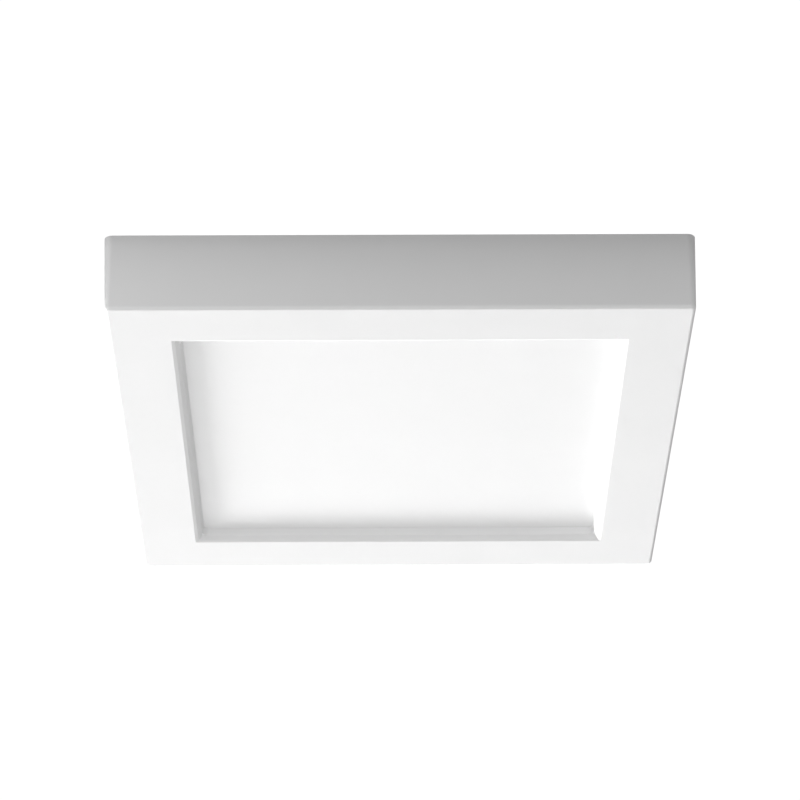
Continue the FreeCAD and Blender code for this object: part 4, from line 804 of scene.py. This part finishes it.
def chip_places():
    """Centre, inward direction and half thickness of each chip, by the islands of its mesh."""
    mesh = bmesh.new()
    mesh.from_mesh(frame["nodes"]["led_chips"].data)
    waiting = set(mesh.verts)
    places = []
    while waiting:
        island = [waiting.pop()]
        for vertex in island:
            for edge in vertex.link_edges:
                other = edge.other_vert(vertex)
                if other in waiting:
                    waiting.remove(other)
                    island.append(other)
        xs = [vertex.co.x for vertex in island]
        ys = [vertex.co.y for vertex in island]
        zs = [vertex.co.z for vertex in island]
        centre = Vector((min(xs) + max(xs), min(ys) + max(ys), min(zs) + max(zs))) / 2
        along_x = max(xs) - min(xs) > max(ys) - min(ys)
        inward = Vector((0, -centre.y, 0)) if along_x else Vector((-centre.x, 0, 0))
        half = (max(ys) - min(ys)) / 2 if along_x else (max(xs) - min(xs)) / 2
        places.append((centre, inward.normalized(), half))
    mesh.free()
    return sorted(places, key=lambda place: tuple(place[0]))


# Phosphor dome of a chip: distances from its base and radii, in millimetres.
DOME = ((0.0, 0.6), (0.06, 0.55), (0.1, 0.4), (0.12, 0.15))
DOME_SUNK = 0.02


def make_chip_domes():
    """Low phosphor dome on the face of every light-emitting chip."""
    form = Form()
    for centre, inward, half in chip_places():
        face = centre + inward * (half - DOME_SUNK * MM)
        form.turn(face, inward, DOME)
    form.piece("chip_domes", "fixture", "led_chip")


# ---------------------------------------------------------------- stage, light and camera


# Floor, in metres.
FLOOR_LEVEL = -1.25
FLOOR_SIZE = 8.0
FLOOR_GREY = 0.85


def make_stage():
    """A pale floor well below the light."""
    bpy.ops.mesh.primitive_plane_add(size=FLOOR_SIZE, location=(0, 0, FLOOR_LEVEL))
    floor = bpy.context.object
    floor.name = "pale_floor"
    shader = Shader("floor_paint", (FLOOR_GREY, FLOOR_GREY, FLOOR_GREY), roughness=0.8)
    shader.vary_colour(shader.noise(size=0.4), amount=0.01)
    floor.data.materials.append(shader.material)


# Boards that shade the walls, in metres.
FLAG_GAP = 0.008  # from the walls out to the side flag
FLAG_END = 0.056  # how far the flag reaches past the right wall
FLAG_GREY = 0.8
CARD_DEEP = 0.018  # how far the dark card stands out from the near wall
CARD_LIFT = 0.0005
CARD_GREY = 0.04


def make_screen(name, upper, lower, grey):
    """A board between two lines of points; the camera doesn't see it."""
    mesh = bmesh.new()
    rows = [[mesh.verts.new(corner) for corner in row] for row in (upper, lower)]
    for index in range(len(upper) - 1):
        mesh.faces.new((*rows[0][index : index + 2], *rows[1][index : index + 2][::-1]))
    data = bpy.data.meshes.new(name)
    mesh.to_mesh(data)
    mesh.free()
    screen = bpy.data.objects.new(name, data)
    bpy.context.scene.collection.objects.link(screen)
    shader = Shader(name + "_paint", (grey, grey, grey), roughness=0.9)
    shader.vary_colour(shader.noise(size=0.05), amount=0.02)
    data.materials.append(shader.material)
    screen.visible_camera = False
    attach(screen, "fixture")


def make_screens():
    """A flag beside the left and far walls, and a dark card over the near wall's top edge."""
    left = cad_low.x - FLAG_GAP
    far = cad_high.y + FLAG_GAP
    corners = ((left, cad_low.y), (left, far), (cad_high.x + FLAG_END, far))
    upper = [(x, y, cad_high.z) for x, y in corners]
    lower = [(x, y, cad_low.z) for x, y in corners]
    make_screen("side_flag", upper, lower, FLAG_GREY)
    level = cad_high.z + CARD_LIFT
    ends = (cad_low.x - CARD_DEEP, cad_high.x + CARD_DEEP)
    inner = [(x, cad_low.y, level) for x in ends]
    outer = [(x, cad_low.y - CARD_DEEP, level) for x in ends]
    make_screen("near_card", inner, outer, CARD_GREY)


BACKDROP = 1.05  # strength of the white that the camera sees
GLOW_BELOW = 0.15
GLOW_ABOVE = 0.35
GLOW_TURN = 0.15  # the glow changes between this much below and above the horizon


def make_world():
    """White behind the object; soft greys light it, one from above and one from below."""
    world = bpy.data.worlds.new("studio")
    bpy.context.scene.world = world
    world.use_nodes = True
    tree = world.node_tree
    tree.nodes.clear()
    seen = tree.nodes.new("ShaderNodeBackground")
    seen.inputs["Color"].default_value = (1, 1, 1, 1)
    seen.inputs["Strength"].default_value = BACKDROP
    felt = tree.nodes.new("ShaderNodeBackground")
    felt.inputs["Color"].default_value = (1, 1, 1, 1)
    direction = tree.nodes.new("ShaderNodeTexCoord")
    parts = tree.nodes.new("ShaderNodeSeparateXYZ")
    glow = tree.nodes.new("ShaderNodeMapRange")
    glow.inputs["From Min"].default_value = -GLOW_TURN
    glow.inputs["From Max"].default_value = GLOW_TURN
    glow.inputs["To Min"].default_value = GLOW_BELOW
    glow.inputs["To Max"].default_value = GLOW_ABOVE
    path = tree.nodes.new("ShaderNodeLightPath")
    mix = tree.nodes.new("ShaderNodeMixShader")
    out = tree.nodes.new("ShaderNodeOutputWorld")
    tree.links.new(direction.outputs["Generated"], parts.inputs["Vector"])
    tree.links.new(parts.outputs["Z"], glow.inputs["Value"])
    tree.links.new(glow.outputs["Result"], felt.inputs["Strength"])
    tree.links.new(path.outputs["Is Camera Ray"], mix.inputs["Fac"])
    tree.links.new(felt.outputs[0], mix.inputs[1])
    tree.links.new(seen.outputs[0], mix.inputs[2])
    tree.links.new(mix.outputs[0], out.inputs["Surface"])


def add_light(name, place, target, size, power):
    """A soft box of this width and height at a place, facing a target."""
    data = bpy.data.lights.new(name, "AREA")
    data.shape = "RECTANGLE"
    data.size, data.size_y = size
    data.energy = power
    light = bpy.data.objects.new(name, data)
    bpy.context.scene.collection.objects.link(light)
    light.location = place
    light.rotation_mode = "QUATERNION"
    aim = Vector(target) - Vector(place)
    light.rotation_quaternion = aim.to_track_quat("-Z", "Y")
    light.visible_camera = False


FACE_CENTRE = Vector((0, 0, cad_low.z))
FAR = 3.5  # metres from the face to the low soft boxes


def far_place(azimuth, elevation):
    """A place far off, at angles round +Z from +X and down from the light's face."""
    azimuth, elevation = math.radians(azimuth), math.radians(elevation)
    level = math.cos(elevation)
    outward = Vector((level * math.cos(azimuth), level * math.sin(azimuth), -math.sin(elevation)))
    return FACE_CENTRE + outward * FAR


# Name, place, target, width and height in metres, and watts.
SOFT_BOXES = (
    ("key_left", far_place(142, 12), FACE_CENTRE, (0.8, 1.2), 92.0),
    ("key_far_left", far_place(130, 10), FACE_CENTRE, (1.6, 0.6), 102.0),
    ("key_far", far_place(90, 14), FACE_CENTRE, (1.6, 0.6), 9.4),
    ("fill_near_left", (-0.32, -0.24, -0.03), (-0.06, -0.09, -0.01), (0.15, 0.15), 0.27),
    ("fill_near", (0.1, -1.6, -0.35), (0, 0, -0.02), (0.8, 0.5), 4.3),
    ("top_soft", (0.1, 0.7, 1.4), (0, 0, 0), (1.6, 1.6), 14.0),
)


def make_lights():
    """Low soft boxes behind rake the light's face, weak ones fill its near wall, one is above."""
    for box in SOFT_BOXES:
        add_light(*box)


# Camera: pitch up, small yaw and roll, as fitted to the photo's edges.
CAMERA_PLACE = Vector((-0.0070, -0.8821, -0.4925))
CAMERA_PITCH = math.radians(28.781)
CAMERA_YAW = math.radians(0.479)
CAMERA_ROLL = math.radians(-0.425)
SENSOR_WIDTH = 36.0
FOCAL_PIXELS = 3063.5
FRAME_PIXELS = 800


def make_camera():
    """The camera where the photo was taken from."""
    forward = Vector(
        (
            math.sin(CAMERA_YAW) * math.cos(CAMERA_PITCH),
            math.cos(CAMERA_YAW) * math.cos(CAMERA_PITCH),
            math.sin(CAMERA_PITCH),
        )
    )
    level_right = Vector((math.cos(CAMERA_YAW), -math.sin(CAMERA_YAW), 0))
    level_up = level_right.cross(forward)
    right = level_right * math.cos(CAMERA_ROLL) + level_up * math.sin(CAMERA_ROLL)
    up = level_up * math.cos(CAMERA_ROLL) - level_right * math.sin(CAMERA_ROLL)
    data = bpy.data.cameras.new("camera")
    data.sensor_width = SENSOR_WIDTH
    data.lens = FOCAL_PIXELS * SENSOR_WIDTH / FRAME_PIXELS
    camera = bpy.data.objects.new("camera", data)
    bpy.context.scene.collection.objects.link(camera)
    turn = Matrix((right, up, -forward)).transposed()
    camera.matrix_world = Matrix.Translation(CAMERA_PLACE) @ turn.to_4x4()
    bpy.context.scene.camera = camera


dress_nodes()
make_studs()
make_set_screw("set_screw_left", "left_screw", -1)
make_set_screw("set_screw_right", "right_screw", 1)
make_earth_tag()
make_lead_collars()
make_tongue_solder()
make_cover_rim()
for can in ("bulk_capacitor", "output_capacitor"):
    make_can(can)
make_fuse_caps()
make_choke_winding()
make_bobbin()
make_chip_legs()
make_small_parts()
make_chip_domes()
make_stage()
make_screens()
make_world()
make_lights()
make_camera()

scene = bpy.context.scene
scene.view_settings.view_transform = "Standard"
scene.view_settings.look = "None"
scene.view_settings.exposure = 0.0
scene.view_settings.gamma = 1.0
